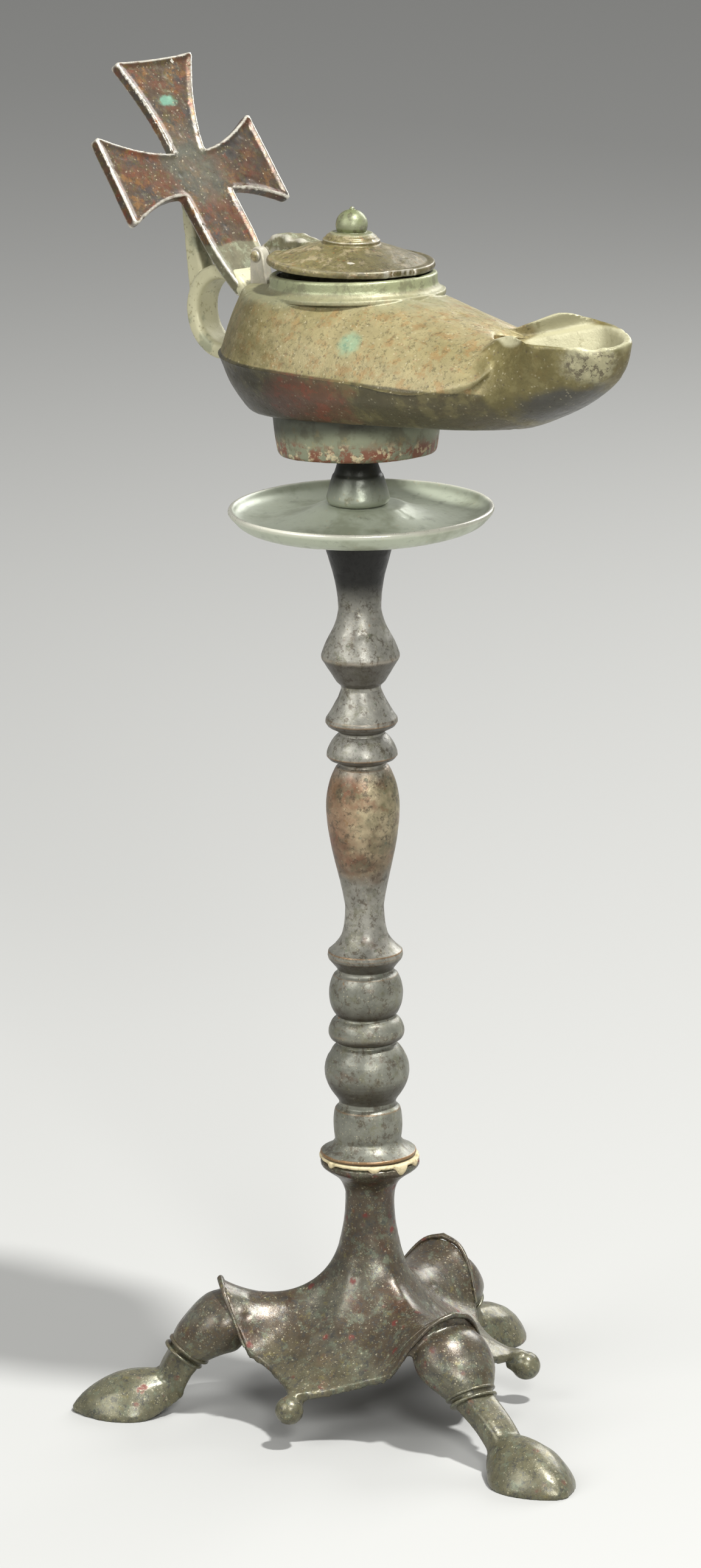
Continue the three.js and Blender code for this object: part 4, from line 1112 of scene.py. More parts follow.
def cuff_rolls(ring, radius):
    """Bead along each of the three cuffs, on that ring of the canopy."""
    shells = []
    reach = round(CANOPY_SIDE * CUFF_HALF_ANGLE / CANOPY_TURN)
    for i in range(len(LEGS)):
        path = [ring[(2 * CANOPY_SIDE * i + k) % len(ring)] for k in range(-reach, reach + 1)]
        radii = [radius * mix(1, 0.4, abs(k) / reach) for k in range(-reach, reach + 1)]
        shells.append(tube(path, radii))
    return shells


LIMB_SIDES = 40


def limb(stations, steps=24, squareness=1.0):
    """Limb with an oval section; each station is (reach, z, tilt, half thickness, half width)."""
    keys = [[(i, s[k]) for i, s in enumerate(stations)] for k in range(5)]
    rings = []
    last = len(stations) - 1
    for n in range(steps + 1):
        at = last * n / steps
        reach, z, tilt, thick, wide = (along(pairs, at) for pairs in keys)
        ring = []
        for j in range(LIMB_SIDES):
            turn = 2 * math.pi * j / LIMB_SIDES
            c = math.copysign(abs(math.cos(turn)) ** squareness, math.cos(turn))
            s = math.copysign(abs(math.sin(turn)) ** squareness, math.sin(turn))
            ring.append((reach + thick * c * math.sin(math.radians(tilt)), wide * s,
                         z + thick * c * math.cos(math.radians(tilt))))
        rings.append(ring)
    return loft(rings)


# Lines of a slipper from heel (0) to toe (1): share of its half width, height of ridge and of sole
SLIPPER_STEPS = 40
SLIPPER_WIDTH = ((0, 0.34), (0.16, 0.66), (0.42, 1), (0.66, 0.94), (0.86, 0.6), (1, 0.16))
SLIPPER_TOP = ((0, 11), (0.14, 13.8), (0.34, 14.6), (0.58, 13.2), (0.8, 9.2), (0.93, 5.2), (1, 2))
SLIPPER_SOLE = ((0, 6), (0.16, 3), (0.36, 0), (1, 0))

# Half section of a slipper from its edge to its ridge, as shares of half width and height
SLIPPER_SECTION = ((1, 0), (1, 0.14), (0.86, 0.42), (0.62, 0.74), (0.3, 0.96))


def foot_pad(tip):
    """Slipper with a thin sole edge and two flat slopes that meet in a ridge toward the toe."""
    rings = []
    for i in range(SLIPPER_STEPS + 1):
        t = i / SLIPPER_STEPS
        reach = tip - FOOT_LENGTH * (1 - t)
        half = FOOT_HALF_WIDTH * along(SLIPPER_WIDTH, t)
        top = along(SLIPPER_TOP, t)
        sole = along(SLIPPER_SOLE, t)
        slope = [(across, mix(sole, top, share)) for across, share in SLIPPER_SECTION]
        section = [(-across, z) for across, z in slope] + [(0, top * 1.01)] + slope[::-1]
        rings.append([(reach, half * across, z) for across, z in section])
    return loft(rings)


# The knee, in stations from the canopy down to where the shank begins
KNEE = ((38, 36, 16, 4, 7), (44, 35, 20, 8, 11.6), (51, 31.6, 28, 10.9, 14), (57, 27.5, 42, 9.4, 13.2),
        (61, 24, 50, 8.2, 10.6), (64, 20.6, 54, 6.6, 7.8))
SHANK_TILT = 54
SHANK_START = 63.6
SHANK_SQUARENESS = 0.5
ANKLE_TILT = 60
ANKLE_INSET = 5


def leg_shells(leg):
    """Knee, shank and slipper of one leg."""
    ankle = leg["reach"] - FOOT_LENGTH + ANKLE_INSET
    shank = ((SHANK_START, 20.4, SHANK_TILT, 5.8, 6.2),
             (mix(SHANK_START, ankle, 0.6), 14.6, ANKLE_TILT, 5.4, 5.8), (ankle, 8.5, ANKLE_TILT, 5.2, 5.6))
    shells = limb(KNEE), limb(shank, 12, SHANK_SQUARENESS), foot_pad(leg["reach"])
    return [turn_z(shell, leg["bearing"]) for shell in shells]


def neck_outline():
    outline = Outline(0, 58)
    outline.line(10.9, 58).line(10, 62).quad(8.6, 68, 8.5, 75.6).quad(8.7, 81, 11.3, 83.4)
    outline.line(14.2, 85.6).quad(17.2, 87.2, NECK_RIM_RADIUS, 88.6)
    outline.line(NECK_RIM_RADIUS - 0.4, NECK_RIM_TOP).line(0, NECK_RIM_TOP)
    return outline


# Rings below each knee: where they start, half thickness and half width, and their rounded section
KNEE_RINGS = ((62.4, 8.1, 9.1), (64.3, 7.7, 8.7))
KNEE_RING_SECTION = ((0, 1.6), (0.15, 0.3), (0.5, 0), (0.9, 0.3), (1.05, 1.6))
KNEE_RING_Z = 22.1
SHANK_FALL = 0.95


def knee_rings():
    """Two thin rings where each knee meets its shank."""
    shells = []
    for leg in LEGS:
        for start, thick, wide in KNEE_RINGS:
            stations = []
            for step, pull in KNEE_RING_SECTION:
                reach = start + step
                z = KNEE_RING_Z - SHANK_FALL * (reach - KNEE_RINGS[0][0])
                stations.append((reach, z, SHANK_TILT, thick - pull, wide - pull))
            shells.append(turn_z(limb(stations, 12), leg["bearing"]))
    return shells


# Section of the short stalk that joins a tip's ball to the canopy, as (radius, height)
STALK = ((0, 0), (2.2, 0), (2.6, 3.5), (3.4, 7), (0, 7))
STALK_SIDES = 24


class LAMPSTAND_OT_base(bpy.types.Operator):
    """Tripod base with its drooping canopy, three legs in slippers and a ball at each tip"""

    bl_idname = "lampstand.base"
    bl_label = "Tripod base"

    def execute(self, context):
        sizes = context.scene.lampstand_sizes
        outer = canopy_rings(inward=False)
        inner = canopy_rings(inward=True)
        shells = [loft(outer + inner[::-1]), lathe(neck_outline().even(0.7), 96)]
        for leg in LEGS:
            shells += leg_shells(leg)
            shells.append(turn_z(ball((BALL_REACH, 0, BALL_Z), BALL_RADIUS), leg["tip"]))
            stalk = moved(lathe(STALK, STALK_SIDES), TIP_REACH - 3.2, 0, BALL_Z - 1)
            shells.append(turn_z(stalk, leg["tip"]))
        base = new_piece("tripod_base_cast", shells, BASE_FRAME)
        fuse(base, sizes.base_cell, 1)
        weather(base, cast_skin(5, 0.14, 0.05, sizes.pits))
        finish(base, base_patina(context.scene.lampstand_colours))
        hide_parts("tripod_base")
        beads = cuff_rolls(outer[-1], 1.1) + cuff_rolls(outer[-4], 0.7)[-1:] + knee_rings()
        trim = new_piece("tripod_beads_cast", beads, BASE_FRAME)
        finish(trim, base.data.materials[0], sharp=50)
        return {"FINISHED"}


def shaft_outline():
    line = Outline(0, SHAFT_BOTTOM)
    line.line(16.2, 91.5).line(16.7, 92.2).line(16.5, 92.9).quad(12.6, 94.4, 11.4, 97)
    line.quad(12.3, 102, 11.6, 106.8).line(11.2, 108.2).line(9.9, 109.4).line(9.8, 110.8).line(10.6, 112.2)
    line.quad(18.4, 121.6, 11.2, 130.4).line(10.2, 131.2).line(10.2, 132.2).line(12.2, 133.2)
    line.quad(13.7, 135, 12.7, 137.6).quad(12, 139.8, 10.5, 140.6).line(10.1, 141.4).line(11, 142.6)
    line.cubic(13.2, 146, 13.4, 152, 11, 156).line(10, 156.8).line(9.6, 157.8).line(10.4, 159)
    line.line(12.7, 161.8).line(13, 163).line(12.8, 164.4)
    line.quad(9.6, 167, 8.2, 169.8).quad(6.9, 172.6, 6.7, 180)
    line.cubic(8, 191, 12.4, 202, 12.6, 214.6).cubic(12.7, 220, 11.4, 225.6, 9, 229.6).line(8, 230.2)
    line.line(8, 231.2).line(11.2, 232.4).line(12.2, 233.6).line(12, 235).quad(10.8, 238.6, 8.6, 240.6)
    line.line(7.9, 241.2).line(8.1, 242.2).line(11.5, 244).line(12.4, 245.4).line(12.2, 246.6)
    line.quad(10.2, 249.6, 8.8, 252.4).quad(7.4, 255, 6.8, 257).line(6.9, 258.2).line(8.4, 259.6)
    line.line(12.8, 266.8).quad(13.7, 267.9, 13.3, 269.2)
    line.quad(12.2, 272.8, 10, 276.6).quad(7.8, 280.6, 7.3, 285)
    line.quad(7.5, 292, 9.1, 298).quad(10.4, 302.6, 11.1, 305).quad(12.4, 311, 14.4, SHAFT_TOP)
    line.line(0, SHAFT_TOP)
    return line


def pan_outline():
    rim = PAN_RIM
    line = Outline(0, rim - 3)
    line.line(16.2, rim - 3).quad(22, rim - 7.2, 31, rim - 7.6).quad(40.5, rim - 7.4, 43.6, rim - 3.2)
    line.line(PAN_RADIUS, rim - 1.4).quad(PAN_RADIUS + 0.2, rim + 0.6, PAN_RADIUS - 1.5, rim)
    line.line(42.6, rim - 1.9).quad(40, rim - 4.2, 33, rim - 4.2).quad(24, rim - 4, 15, rim + 0.6)
    line.quad(13.8, rim + 1, 12.6, rim + 1).line(0, rim + 1)
    return line


def pricket_outline():
    line = Outline(0, 321.5)
    line.line(9.6, 321.5).quad(11, 322.3, 10.7, 324).quad(9.6, 328.5, 8.6, 331.4).line(8.1, 331.9)
    line.quad(6.9, 335, 6, 340).line(4.2, 350.6).line(3.4, 351.9).line(0, 351.9)
    return line


class LAMPSTAND_OT_shaft(bpy.types.Operator):
    """Turned baluster shaft"""

    bl_idname = "lampstand.shaft"
    bl_label = "Baluster shaft"

    def execute(self, context):
        turned = lathe(shaft_outline().even(0.36, soften=0), 96)
        shaft = new_piece("baluster_shaft_cast", [turned], SHAFT_FRAME)
        weather(shaft, cast_skin(15, 0.1, 0.04, 0.14))
        finish(shaft, shaft_patina(context.scene.lampstand_colours))
        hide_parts("baluster_shaft")
        return {"FINISHED"}


# Runs of putty over the rim: bearing, half width in degrees, length in millimetres
PUTTY_RUNS = ((-5, 9, 2.6), (22, 6, 1.2), (-40, 7, 1.0), (120, 8, 1.6), (215, 10, 1.4), (262, 6, 1.0))
PUTTY_INNER = 8
PUTTY_FACE = 15.6


def putty_outline():
    line = Outline(PUTTY_INNER, NECK_RIM_TOP + 0.1)
    line.line(16.4, NECK_RIM_TOP + 0.1).quad(17.5, NECK_RIM_TOP + 0.6, 17, SHAFT_BOTTOM - 0.3)
    line.line(16.2, SHAFT_BOTTOM - 0.1).line(PUTTY_INNER, SHAFT_BOTTOM - 0.1)
    return line


class LAMPSTAND_OT_fill(bpy.types.Operator):
    """Ring of old putty that beds the shaft on the neck, with runs down the rim"""

    bl_idname = "lampstand.fill"
    bl_label = "Putty ring"

    def execute(self, context):
        verts, faces = lathe(putty_outline().even(0.4, closed=True), 160, closed=True)
        fill = new_piece("putty_ring", [(squeeze_putty(verts), faces)], BASE_FRAME)
        finish(fill, putty_finish(context.scene.lampstand_colours))
        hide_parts("seating_fill")
        return {"FINISHED"}


def squeeze_putty(verts):
    """Bulges the outer face of the ring and pulls its runs down over the rim."""
    out = verts.copy()
    for k, (x, y, z) in enumerate(verts):
        radius = math.hypot(x, y)
        if radius < PUTTY_FACE:
            continue
        bearing = math.degrees(math.atan2(y, x))
        bulge = 0.35 * noise.noise(Vector((x * 0.5, y * 0.5, 3.0))) + 0.2 * noise.noise(Vector((x, y, 9.0)))
        sag = 0.0
        for place, half, length in PUTTY_RUNS:
            away = abs((bearing - place + 180) % 360 - 180) / half
            if away < 1:
                sag = max(sag, length * (1 - away * away))
        low = max(min((SHAFT_BOTTOM - 0.6 - z) / 0.8, 1), 0)
        grown = radius + bulge + min(sag, 1) * 0.5
        out[k] = (x / radius * grown, y / radius * grown, z - sag * low)
    return out


class LAMPSTAND_OT_pan(bpy.types.Operator):
    """Drip pan with a lipped rim, and the pricket that the lamp sits on"""

    bl_idname = "lampstand.pan"
    bl_label = "Drip pan and pricket"

    def execute(self, context):
        colours = context.scene.lampstand_colours
        pan = new_piece("drip_pan_cast", [lathe(pan_outline().even(0.6, soften=1), 180)], PAN_FRAME)
        weather(pan, cast_skin(25, 0.16, 0.04, 0.12))
        finish(pan, pan_patina(colours))
        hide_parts("drip_pan")
        spike = new_piece("pricket_cast", [lathe(pricket_outline().even(0.45, soften=1), 72)], SHAFT_FRAME)
        weather(spike, cast_skin(27, 0.1, 0.05, 0.12))
        finish(spike, pricket_patina(colours))
        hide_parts("pricket")
        return {"FINISHED"}


def collar_outline():
    line = Outline(COLLAR_INNER, -2.6)
    line.line(31.2, -2.6).line(31.2, -0.9).quad(29.2, -0.5, 28.8, 0.7).line(COLLAR_OUTER, 1.4)
    line.line(COLLAR_OUTER, COLLAR_HEIGHT - 0.5).line(COLLAR_OUTER - 0.5, COLLAR_HEIGHT)
    line.line(COLLAR_INNER, COLLAR_HEIGHT)
    return line


def bowl_shells():
    hull = between([contour(half) for half in (HULL_BOTTOM, HULL_TURN, HULL_SIDE, HULL_BELLY, HULL_RIM)], 6)
    shoulder = between([contour(half) for half in (SHOULDER_SKIRT, SHOULDER_EDGE)], 2, False)[:-1]
    shoulder += between([contour(half) for half in (SHOULDER_EDGE, SHOULDER_WALL, SHOULDER_TOP)], 5)[:-1]
    shoulder += between([contour(half) for half in (SHOULDER_TOP, SHOULDER_LEDGE, SHOULDER_CROWN)], 4, False)
    return [loft(hull, 14), loft(shoulder, 10)]


# The oil chamber's roof stays low and back in the nozzle, so that it doesn't break through the front
NOZZLE_ROOF_W = -17
NOZZLE_ROOF_BACK = 5
NOZZLE_FIRST = 5


def bowl_hollows():
    low_rim = [(p[0] - NOZZLE_ROOF_BACK, p[1], NOZZLE_ROOF_W) if i >= NOZZLE_FIRST else p
               for i, p in enumerate(HULL_RIM)]
    chamber = loft(between([contour(inset(HULL_TURN, WALL, 1.4)), contour(inset(HULL_SIDE, WALL, 0.4)),
                            contour(inset(HULL_BELLY, WALL, 0.2)),
                            contour(inset([p[:3] for p in low_rim], WALL - 0.2, 0))], 3))
    dome = loft(between([contour(inset(half, wall, lift)) for half, wall, lift in (
        (SHOULDER_SKIRT, WALL, 0), (SHOULDER_EDGE, WALL, 0), (SHOULDER_WALL, WALL, -0.6),
        (SHOULDER_TOP, WALL + 0.4, -2.6), (SHOULDER_LEDGE, WALL + 1.2, -2.7),
        (SHOULDER_CROWN, 4.6, -2.6))], 2, False))
    levels = ((0.8, -20), (0.92, -13), (1, -6), (1, 6))
    well = loft(between([contour([(mix(MOUTH_MIDDLE, u, share), v * share, w) for u, v in MOUTH])
                         for share, w in levels], 4))
    bore = lathe([(0, -13), (COLLAR_INNER, -13), (COLLAR_INNER, 17), (0, 17)], 120)
    return [chamber, dome, well, bore]


def foot_ring_outline():
    line = Outline(25.8, FLOOR_W + 1)
    line.line(24.2, FOOT_RING_BOTTOM).line(26.1, FOOT_RING_BOTTOM).line(26.9, FOOT_RING_BOTTOM + 1)
    line.quad(28.2, -48, 28.4, -44).line(29, FLOOR_W + 1)
    return line


def socket_outline():
    line = Outline(SOCKET_INNER, FLOOR_W + 1)
    line.line(SOCKET_INNER, SOCKET_BOTTOM).line(SOCKET_OUTER, SOCKET_BOTTOM).line(SOCKET_OUTER, FLOOR_W + 1)
    return line


class LAMPSTAND_OT_bowl(bpy.types.Operator):
    """Hollow lamp bowl with its keel, shoulders, open nozzle and collar, and the foot ring under it"""

    bl_idname = "lampstand.bowl"
    bl_label = "Lamp bowl"

    def execute(self, context):
        sizes = context.scene.lampstand_sizes
        colours = context.scene.lampstand_colours
        collar = lathe(collar_outline().even(0.4, closed=True, soften=0), 144, closed=True)
        shells = bowl_shells() + [collar]
        parts = [new_piece("bowl_part", [shell], LAMP_FRAME) for shell in shells]
        bowl = parts[0]
        bowl.name = "lamp_bowl_cast"
        cut_away(bowl, parts[1:], "UNION")
        cut_away(bowl, [new_piece("bowl_cut", [shell], LAMP_FRAME) for shell in bowl_hollows()])
        refine(bowl, sizes.bowl_edge, 2)
        weather(bowl, bowl_weather(sizes.pits))
        finish(bowl, bowl_patina(colours))
        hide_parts("lamp_body")
        ring = lathe(foot_ring_outline().even(0.5, closed=True), 144, closed=True)
        socket = lathe(socket_outline().even(0.5, closed=True), 64, closed=True)
        foot = new_piece("foot_ring_cast", [ring, socket], LAMP_FRAME)
        weather(foot, cast_skin(45, 0.16, 0.08, 0.2))
        finish(foot, foot_ring_patina(colours))
        return {"FINISHED"}


PATCH_MIDDLE = (118, -10, -16)
PATCH_RADIUS = 11


def bowl_weather(pits):
    """Casting skin of the bowl, with the corroded patch on the near side of the nozzle."""
    skin = cast_skin(35, 0.14, 0.06, pits)
    patch = Vector(lamp_point(*PATCH_MIDDLE))

    def rule(p):
        depth = skin(p)
        near = 1 - (Vector(p) - patch).length / (PATCH_RADIUS * MM)
        if near > 0:
            lump = rough(p, 300, 71)
            depth += min(near * 2, 1) * (lump - 0.1)
        return depth
    return rule


def cross_outline():
    line = Outline(-5, -47)
    line.quad(-9.4, -36, -9.8, -24).line(-10.6, -9).quad(-20, -7.4, -36.4, -16.4)
    line.quad(-38.2, -17, -38.6, -15.4, 4).line(-38.4, 16.4).quad(-38.2, 17.8, -36.8, 17, 4)
    line.quad(-20, 8.2, -7, 8).quad(-6.8, 24, -13.6, 43.4).quad(-13.8, 44.8, -12.4, 44.8, 4)
    line.quad(3, 43.6, 21.4, 45.4).quad(22.8, 45.6, 22.4, 44, 4).quad(10.6, 24, 8, 8)
    line.quad(19, 9, 33.8, 18.8).quad(35.2, 19.4, 35.4, 18, 4).line(36.4, -13.6)
    line.quad(36.2, -15, 35, -14.6, 4).quad(22, -8, 12, -8.6).line(12.8, -24).quad(13, -36, 9, -47)
    return line


# From the back of the cross to its sunken face: depth, and how far the outline is pulled in
CROSS_STEPS = ((-CROSS_THICKNESS, 0.6), (0.6 - CROSS_THICKNESS, 0), (-0.5, 0), (0, 0.4), (0, 0.9),
               (-0.7, 2.4))


def on_cross(v, s, depth):
    """Point of the leaning cross: v across, s up the plate, depth forward of its front face."""
    turn = math.radians(CROSS_LEAN)
    return (CROSS_U - s * math.sin(turn) + depth * math.cos(turn), v,
            CROSS_W + s * math.cos(turn) + depth * math.sin(turn))


def finger_ring_outline():
    """Section of the finger ring, flat on both sides, with all its edges eased."""
    inner, outer, half, soft = RING_INNER + 0.4, RING_OUTER, RING_HALF_WIDTH, 1.6
    line = Outline(inner, -half + soft)
    line.quad(inner + 0.6, -half, inner + 2, -half).line(outer - soft, -half)
    line.quad(outer, -half, outer, -half + soft).line(outer, half - soft)
    line.quad(outer, half, outer - soft, half).line(inner + 2, half)
    line.quad(inner + 0.6, half, inner, half - soft)
    return line


def strut_outline():
    line = Outline(-77.2, -8).quad(-78.6, 8, -80.6, 26).line(-76, 30)
    line.quad(-74.4, 12, -70.6, 2).line(-72, -8)
    return line


class LAMPSTAND_OT_handle(bpy.types.Operator):
    """Cross on the handle, the finger ring behind the bowl and the strut between them"""

    bl_idname = "lampstand.handle"
    bl_label = "Cross and finger ring"

    def execute(self, context):
        sizes = context.scene.lampstand_sizes
        colours = context.scene.lampstand_colours
        outline = cross_outline().even(0.8, closed=True, soften=0)
        cross = new_piece("cross_cast", [plate(outline, CROSS_STEPS, on_cross)], LAMP_FRAME)
        fuse(cross, sizes.fine_cell, 1)
        weather(cross, cast_skin(55, 0.12, 0.05, 0.16))
        finish(cross, cross_patina(colours))
        band = lathe(finger_ring_outline().even(0.5, closed=True), 96, closed=True)
        strut = across_plate(strut_outline().even(0.8, closed=True), -STRUT_HALF_WIDTH, STRUT_HALF_WIDTH, 0.8)
        ring = new_piece("finger_ring_cast", [lie_across(band, RING_U, RING_W), strut], LAMP_FRAME)
        fuse(ring, sizes.fine_cell, 3)
        weather(ring, cast_skin(65, 0.1, 0.06, 0.16))
        finish(ring, ring_patina(colours))
        return {"FINISHED"}


def lug_outline():
    line = Outline(-42, -4).line(-42, 5).line(HINGE_U - HINGE_BARREL, HINGE_W)
    line.arc(HINGE_U, HINGE_W, HINGE_BARREL, math.pi, 0)
    line.line(-34.6, 3).line(-33.4, -4)
    return line


def tab_outline():
    line = Outline(-14, LID_W + 3.8)
    line.quad(-16, LID_W + 6.4, -24, LID_W + 6.2).quad(-32, LID_W + 8.2, -37.6, LID_W + 4.6)
    line.quad(-41.9, LID_W + 2.4, HINGE_U - HINGE_BARREL, HINGE_W)
    line.arc(HINGE_U, HINGE_W, HINGE_BARREL, math.pi, 2 * math.pi)
    line.quad(-34, LID_W + 0.9, -30, LID_W + 0.6).line(-22, LID_W + 0.6)
    return line


def lid_outline():
    line = Outline(0, LID_W + 5.6)
    top = LID_W + LID_DOME
    line.line(10, LID_W + 5).line(22, LID_W + 1.8).line(23.6, LID_W).line(LID_RADIUS - 0.5, LID_W)
    line.line(LID_RADIUS, LID_W + 1).line(LID_RADIUS - 0.4, LID_W + 2.4)
    line.line(LID_RADIUS - 2.0, LID_W + 2.5).line(LID_RADIUS - 2.6, LID_W + 2.2)
    line.quad(18, LID_W + 5.4, KNOB_DISC, top)
    line.line(KNOB_DISC + 0.2, top + 1.3).line(8.8, top + 1.7).line(8.5, top + 2.6).line(7.6, top + 2.9)
    line.line(7.3, top + 3.5).line(4.4, top + 3.9).line(0, top + 3.9)
    return line


# What is broken out of the lid's lip, seen from above
LID_BITE = ((27.6, -22), (26.9, -15), (26.2, -8), (27.2, -3), (27.8, 2), (40, 4), (40, -26))


STRAP_MIDDLE = (-29, 0, 15)
CRUST_RADIUS = 15


def lid_weather():
    """Casting skin of the lid, with a crust on the strap."""
    skin = cast_skin(75, 0.06, 0.05, 0.14)
    strap = Vector(lamp_point(*STRAP_MIDDLE))

    def rule(p):
        near = 1 - (Vector(p) - strap).length / (CRUST_RADIUS * MM)
        crust = 0.9 * min(near * 3, 1) * rough(p, 260, 77) if near > 0 else 0
        return skin(p) + crust
    return rule


def across_plate(outline, low, high, bevel):
    return plate(outline, bevelled(low, high, bevel), lambda a, b, depth: (a, depth, b))


def cross_rod(radius, low, high):
    return lie_across(lathe([(0, low), (radius, low), (radius, high), (0, high)], 40), HINGE_U, HINGE_W)


def pin_outline():
    """Pin with a domed head outside each lug."""
    near, far = HINGE_LUG + HINGE_PLAY, HINGE_LUG + 1.6
    line = Outline(0, -far).quad(1.9, -far, PIN_HEAD, -near).line(PIN_RADIUS, -near)
    line.line(PIN_RADIUS, near).line(PIN_HEAD, near).quad(1.9, far, 0, far)
    return line


class LAMPSTAND_OT_lid(bpy.types.Operator):
    """Domed lid with its knob and strap, its chipped lip, the hinge lugs and the pin"""

    bl_idname = "lampstand.lid"
    bl_label = "Lid and hinge"

    def execute(self, context):
        sizes = context.scene.lampstand_sizes
        colours = context.scene.lampstand_colours
        disc = lathe(lid_outline().even(0.35, soften=1), 160)
        knob = ball((0, 0, LID_W + KNOB_W), KNOB_BALL, 0.96)
        nipple = ball((0, 0, LID_W + KNOB_W + KNOB_BALL * 0.96), 0.9)
        strap = across_plate(tab_outline().even(0.6, closed=True), -HINGE_TAB, HINGE_TAB, 0.5)
        shells = [moved(shell, LID_CENTRE, 0, 0) for shell in (disc, knob, nipple)] + [strap]
        parts = [new_piece("lid_part", [shell], LID_FRAME) for shell in shells]
        lid = parts[0]
        lid.name = "lid_cast"
        cut_away(lid, parts[1:], "UNION")
        bite = plate(LID_BITE, bevelled(LID_W - 2, LID_W + 6, 0.1), lambda a, b, depth: (a, b, depth))
        bore = cross_rod(HINGE_BORE, -BORE_REACH, BORE_REACH)
        cut_away(lid, [new_piece("lid_cut", [moved(bite, LID_CENTRE, 0, 0)], LID_FRAME),
                       new_piece("lid_cut", [bore], LID_FRAME)])
        refine(lid, sizes.lid_edge, 1)
        weather(lid, lid_weather())
        finish(lid, lid_patina(colours), "lid")
        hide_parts("lid")
        near = HINGE_TAB + HINGE_PLAY
        lugs = new_piece("hinge_lugs_cast", [
            across_plate(lug_outline().even(0.6, closed=True), low, high, 0.4)
            for low, high in ((near, HINGE_LUG), (-HINGE_LUG, -near))], LAMP_FRAME)
        cut_away(lugs, [new_piece("lug_cut", [bore], LAMP_FRAME)])
        finish(lugs, lid.data.materials[0], sharp=35)
        turned = lathe(pin_outline().even(0.35, soften=0), 40)
        pin = new_piece("hinge_pin_cast", [lie_across(turned, HINGE_U, HINGE_W)], LAMP_FRAME)
        finish(pin, lid.data.materials[0], sharp=50)
        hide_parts("hinge_pin")
        return {"FINISHED"}


# The viewpoint: bearing of the line of sight, then shift to the side, distance and height in metres
VIEW_BEARING = -45
VIEW_ACROSS = -0.0067
VIEW_BACK = 2.65
VIEW_HEIGHT = 0.906

# Lights in the viewer's own frame: right, away and up, size, and share of the key light's power
LIGHTS = (
    ("key", (0.62, -0.50, 2.0), 0.16, 1.0),
    ("front", (0.35, -1.9, 1.25), 0.5, 0.42),
    ("soft_left", (-1.3, -1.0, 1.3), 1.2, 0.35),
    ("soft_back", (0.9, 1.4, 1.1), 1.0, 0.3),
)
LIT_HEIGHT = 0.22
FLOOR_HALF = 6.0


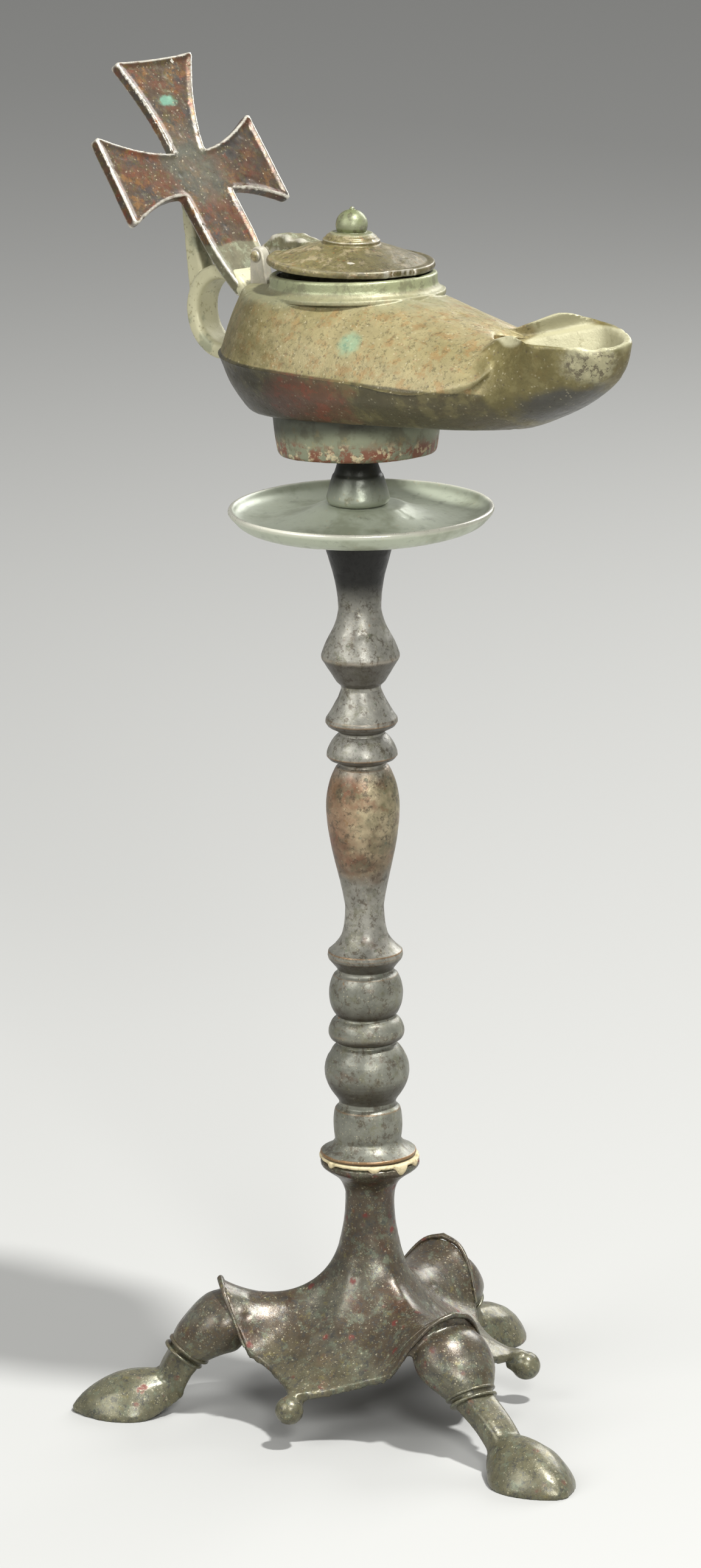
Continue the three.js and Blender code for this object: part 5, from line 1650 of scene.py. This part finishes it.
class LAMPSTAND_OT_stage(bpy.types.Operator):
    """Pale floor, soft studio light and the camera"""

    bl_idname = "lampstand.stage"
    bl_label = "Stage"

    def execute(self, context):
        stage = context.scene.lampstand_stage
        middle = Vector((AXIS_X * MM, AXIS_Y * MM, 0))
        turn = Matrix.Rotation(math.radians(VIEW_BEARING + 90), 4, "Z")
        floor_mesh = bpy.data.meshes.new("floor")
        corners = [(x * FLOOR_HALF, y * FLOOR_HALF, 0) for x, y in ((-1, -1), (1, -1), (1, 1), (-1, 1))]
        floor_mesh.from_pydata(corners, [], [(0, 1, 2, 3)])
        floor = bpy.data.objects.new("floor", floor_mesh)
        context.scene.collection.objects.link(floor)
        paint = bpy.data.materials.new("floor_paint")
        paint.use_nodes = True
        shader = paint.node_tree.nodes["Principled BSDF"]
        shader.inputs["Base Color"].default_value = (*stage.floor, 1)
        shader.inputs["Roughness"].default_value = 0.8
        floor_mesh.materials.append(paint)

        for name, place, size, share in LIGHTS:
            self.light(context, name, place, size, stage.key * share, middle, turn)

        world = bpy.data.worlds.new("studio")
        context.scene.world = world
        world.use_nodes = True
        back = world.node_tree.nodes["Background"]
        back.inputs["Color"].default_value = (1.0, 1.0, 1.0, 1)
        back.inputs["Strength"].default_value = stage.fill

        camera_data = bpy.data.cameras.new("camera")
        camera_data.sensor_fit = "VERTICAL"
        camera_data.sensor_height = 24.0
        camera_data.lens = stage.lens
        camera = bpy.data.objects.new("camera", camera_data)
        context.scene.collection.objects.link(camera)
        place = turn @ Vector((VIEW_ACROSS, -VIEW_BACK, 0)) + middle
        camera.location = (place.x, place.y, VIEW_HEIGHT)
        camera.rotation_euler = (math.radians(90) - stage.pitch, 0, math.radians(VIEW_BEARING + 90))
        context.scene.camera = camera
        context.scene.view_settings.view_transform = "Standard"
        return {"FINISHED"}

    def light(self, context, name, place, size, power, middle, turn):
        """Area light at a place in the viewer's own frame, turned to the middle of the part."""
        data = bpy.data.lights.new(name, "AREA")
        data.shape = "DISK"
        data.size = size
        data.energy = power
        lamp = bpy.data.objects.new(name, data)
        context.scene.collection.objects.link(lamp)
        target = middle + Vector((0, 0, LIT_HEIGHT))
        lamp.location = turn @ Vector(place) + middle
        lamp.rotation_euler = (target - lamp.location).to_track_quat("-Z", "Y").to_euler()


class LAMPSTAND_PT_panel(bpy.types.Panel):
    """Lists the pieces and their settings"""

    bl_idname = "LAMPSTAND_PT_panel"
    bl_label = "Lampstand"
    bl_space_type = "VIEW_3D"
    bl_region_type = "UI"
    bl_category = "Lampstand"

    def draw(self, context):
        column = self.layout.column()
        for operator in OPERATORS:
            column.operator(operator.bl_idname)
        for group in (context.scene.lampstand_sizes, context.scene.lampstand_stage,
                      context.scene.lampstand_colours):
            box = self.layout.box()
            for key in group.__annotations__:
                box.prop(group, key)


OPERATORS = (LAMPSTAND_OT_stage, LAMPSTAND_OT_base, LAMPSTAND_OT_fill, LAMPSTAND_OT_shaft, LAMPSTAND_OT_pan,
             LAMPSTAND_OT_bowl, LAMPSTAND_OT_handle, LAMPSTAND_OT_lid)
CLASSES = (LampstandColours, LampstandSizes, LampstandStage, *OPERATORS, LAMPSTAND_PT_panel)


def register():
    for item in CLASSES:
        bpy.utils.register_class(item)
    bpy.types.Scene.lampstand_colours = bpy.props.PointerProperty(type=LampstandColours)
    bpy.types.Scene.lampstand_sizes = bpy.props.PointerProperty(type=LampstandSizes)
    bpy.types.Scene.lampstand_stage = bpy.props.PointerProperty(type=LampstandStage)


def unregister():
    del bpy.types.Scene.lampstand_stage
    del bpy.types.Scene.lampstand_sizes
    del bpy.types.Scene.lampstand_colours
    for item in reversed(CLASSES):
        bpy.utils.unregister_class(item)


def main():
    register()
    bpy.ops.lampstand.stage()
    bpy.ops.lampstand.base()
    bpy.ops.lampstand.fill()
    bpy.ops.lampstand.shaft()
    bpy.ops.lampstand.pan()
    bpy.ops.lampstand.bowl()
    bpy.ops.lampstand.handle()
    bpy.ops.lampstand.lid()


if __name__ == "__main__":
    main()
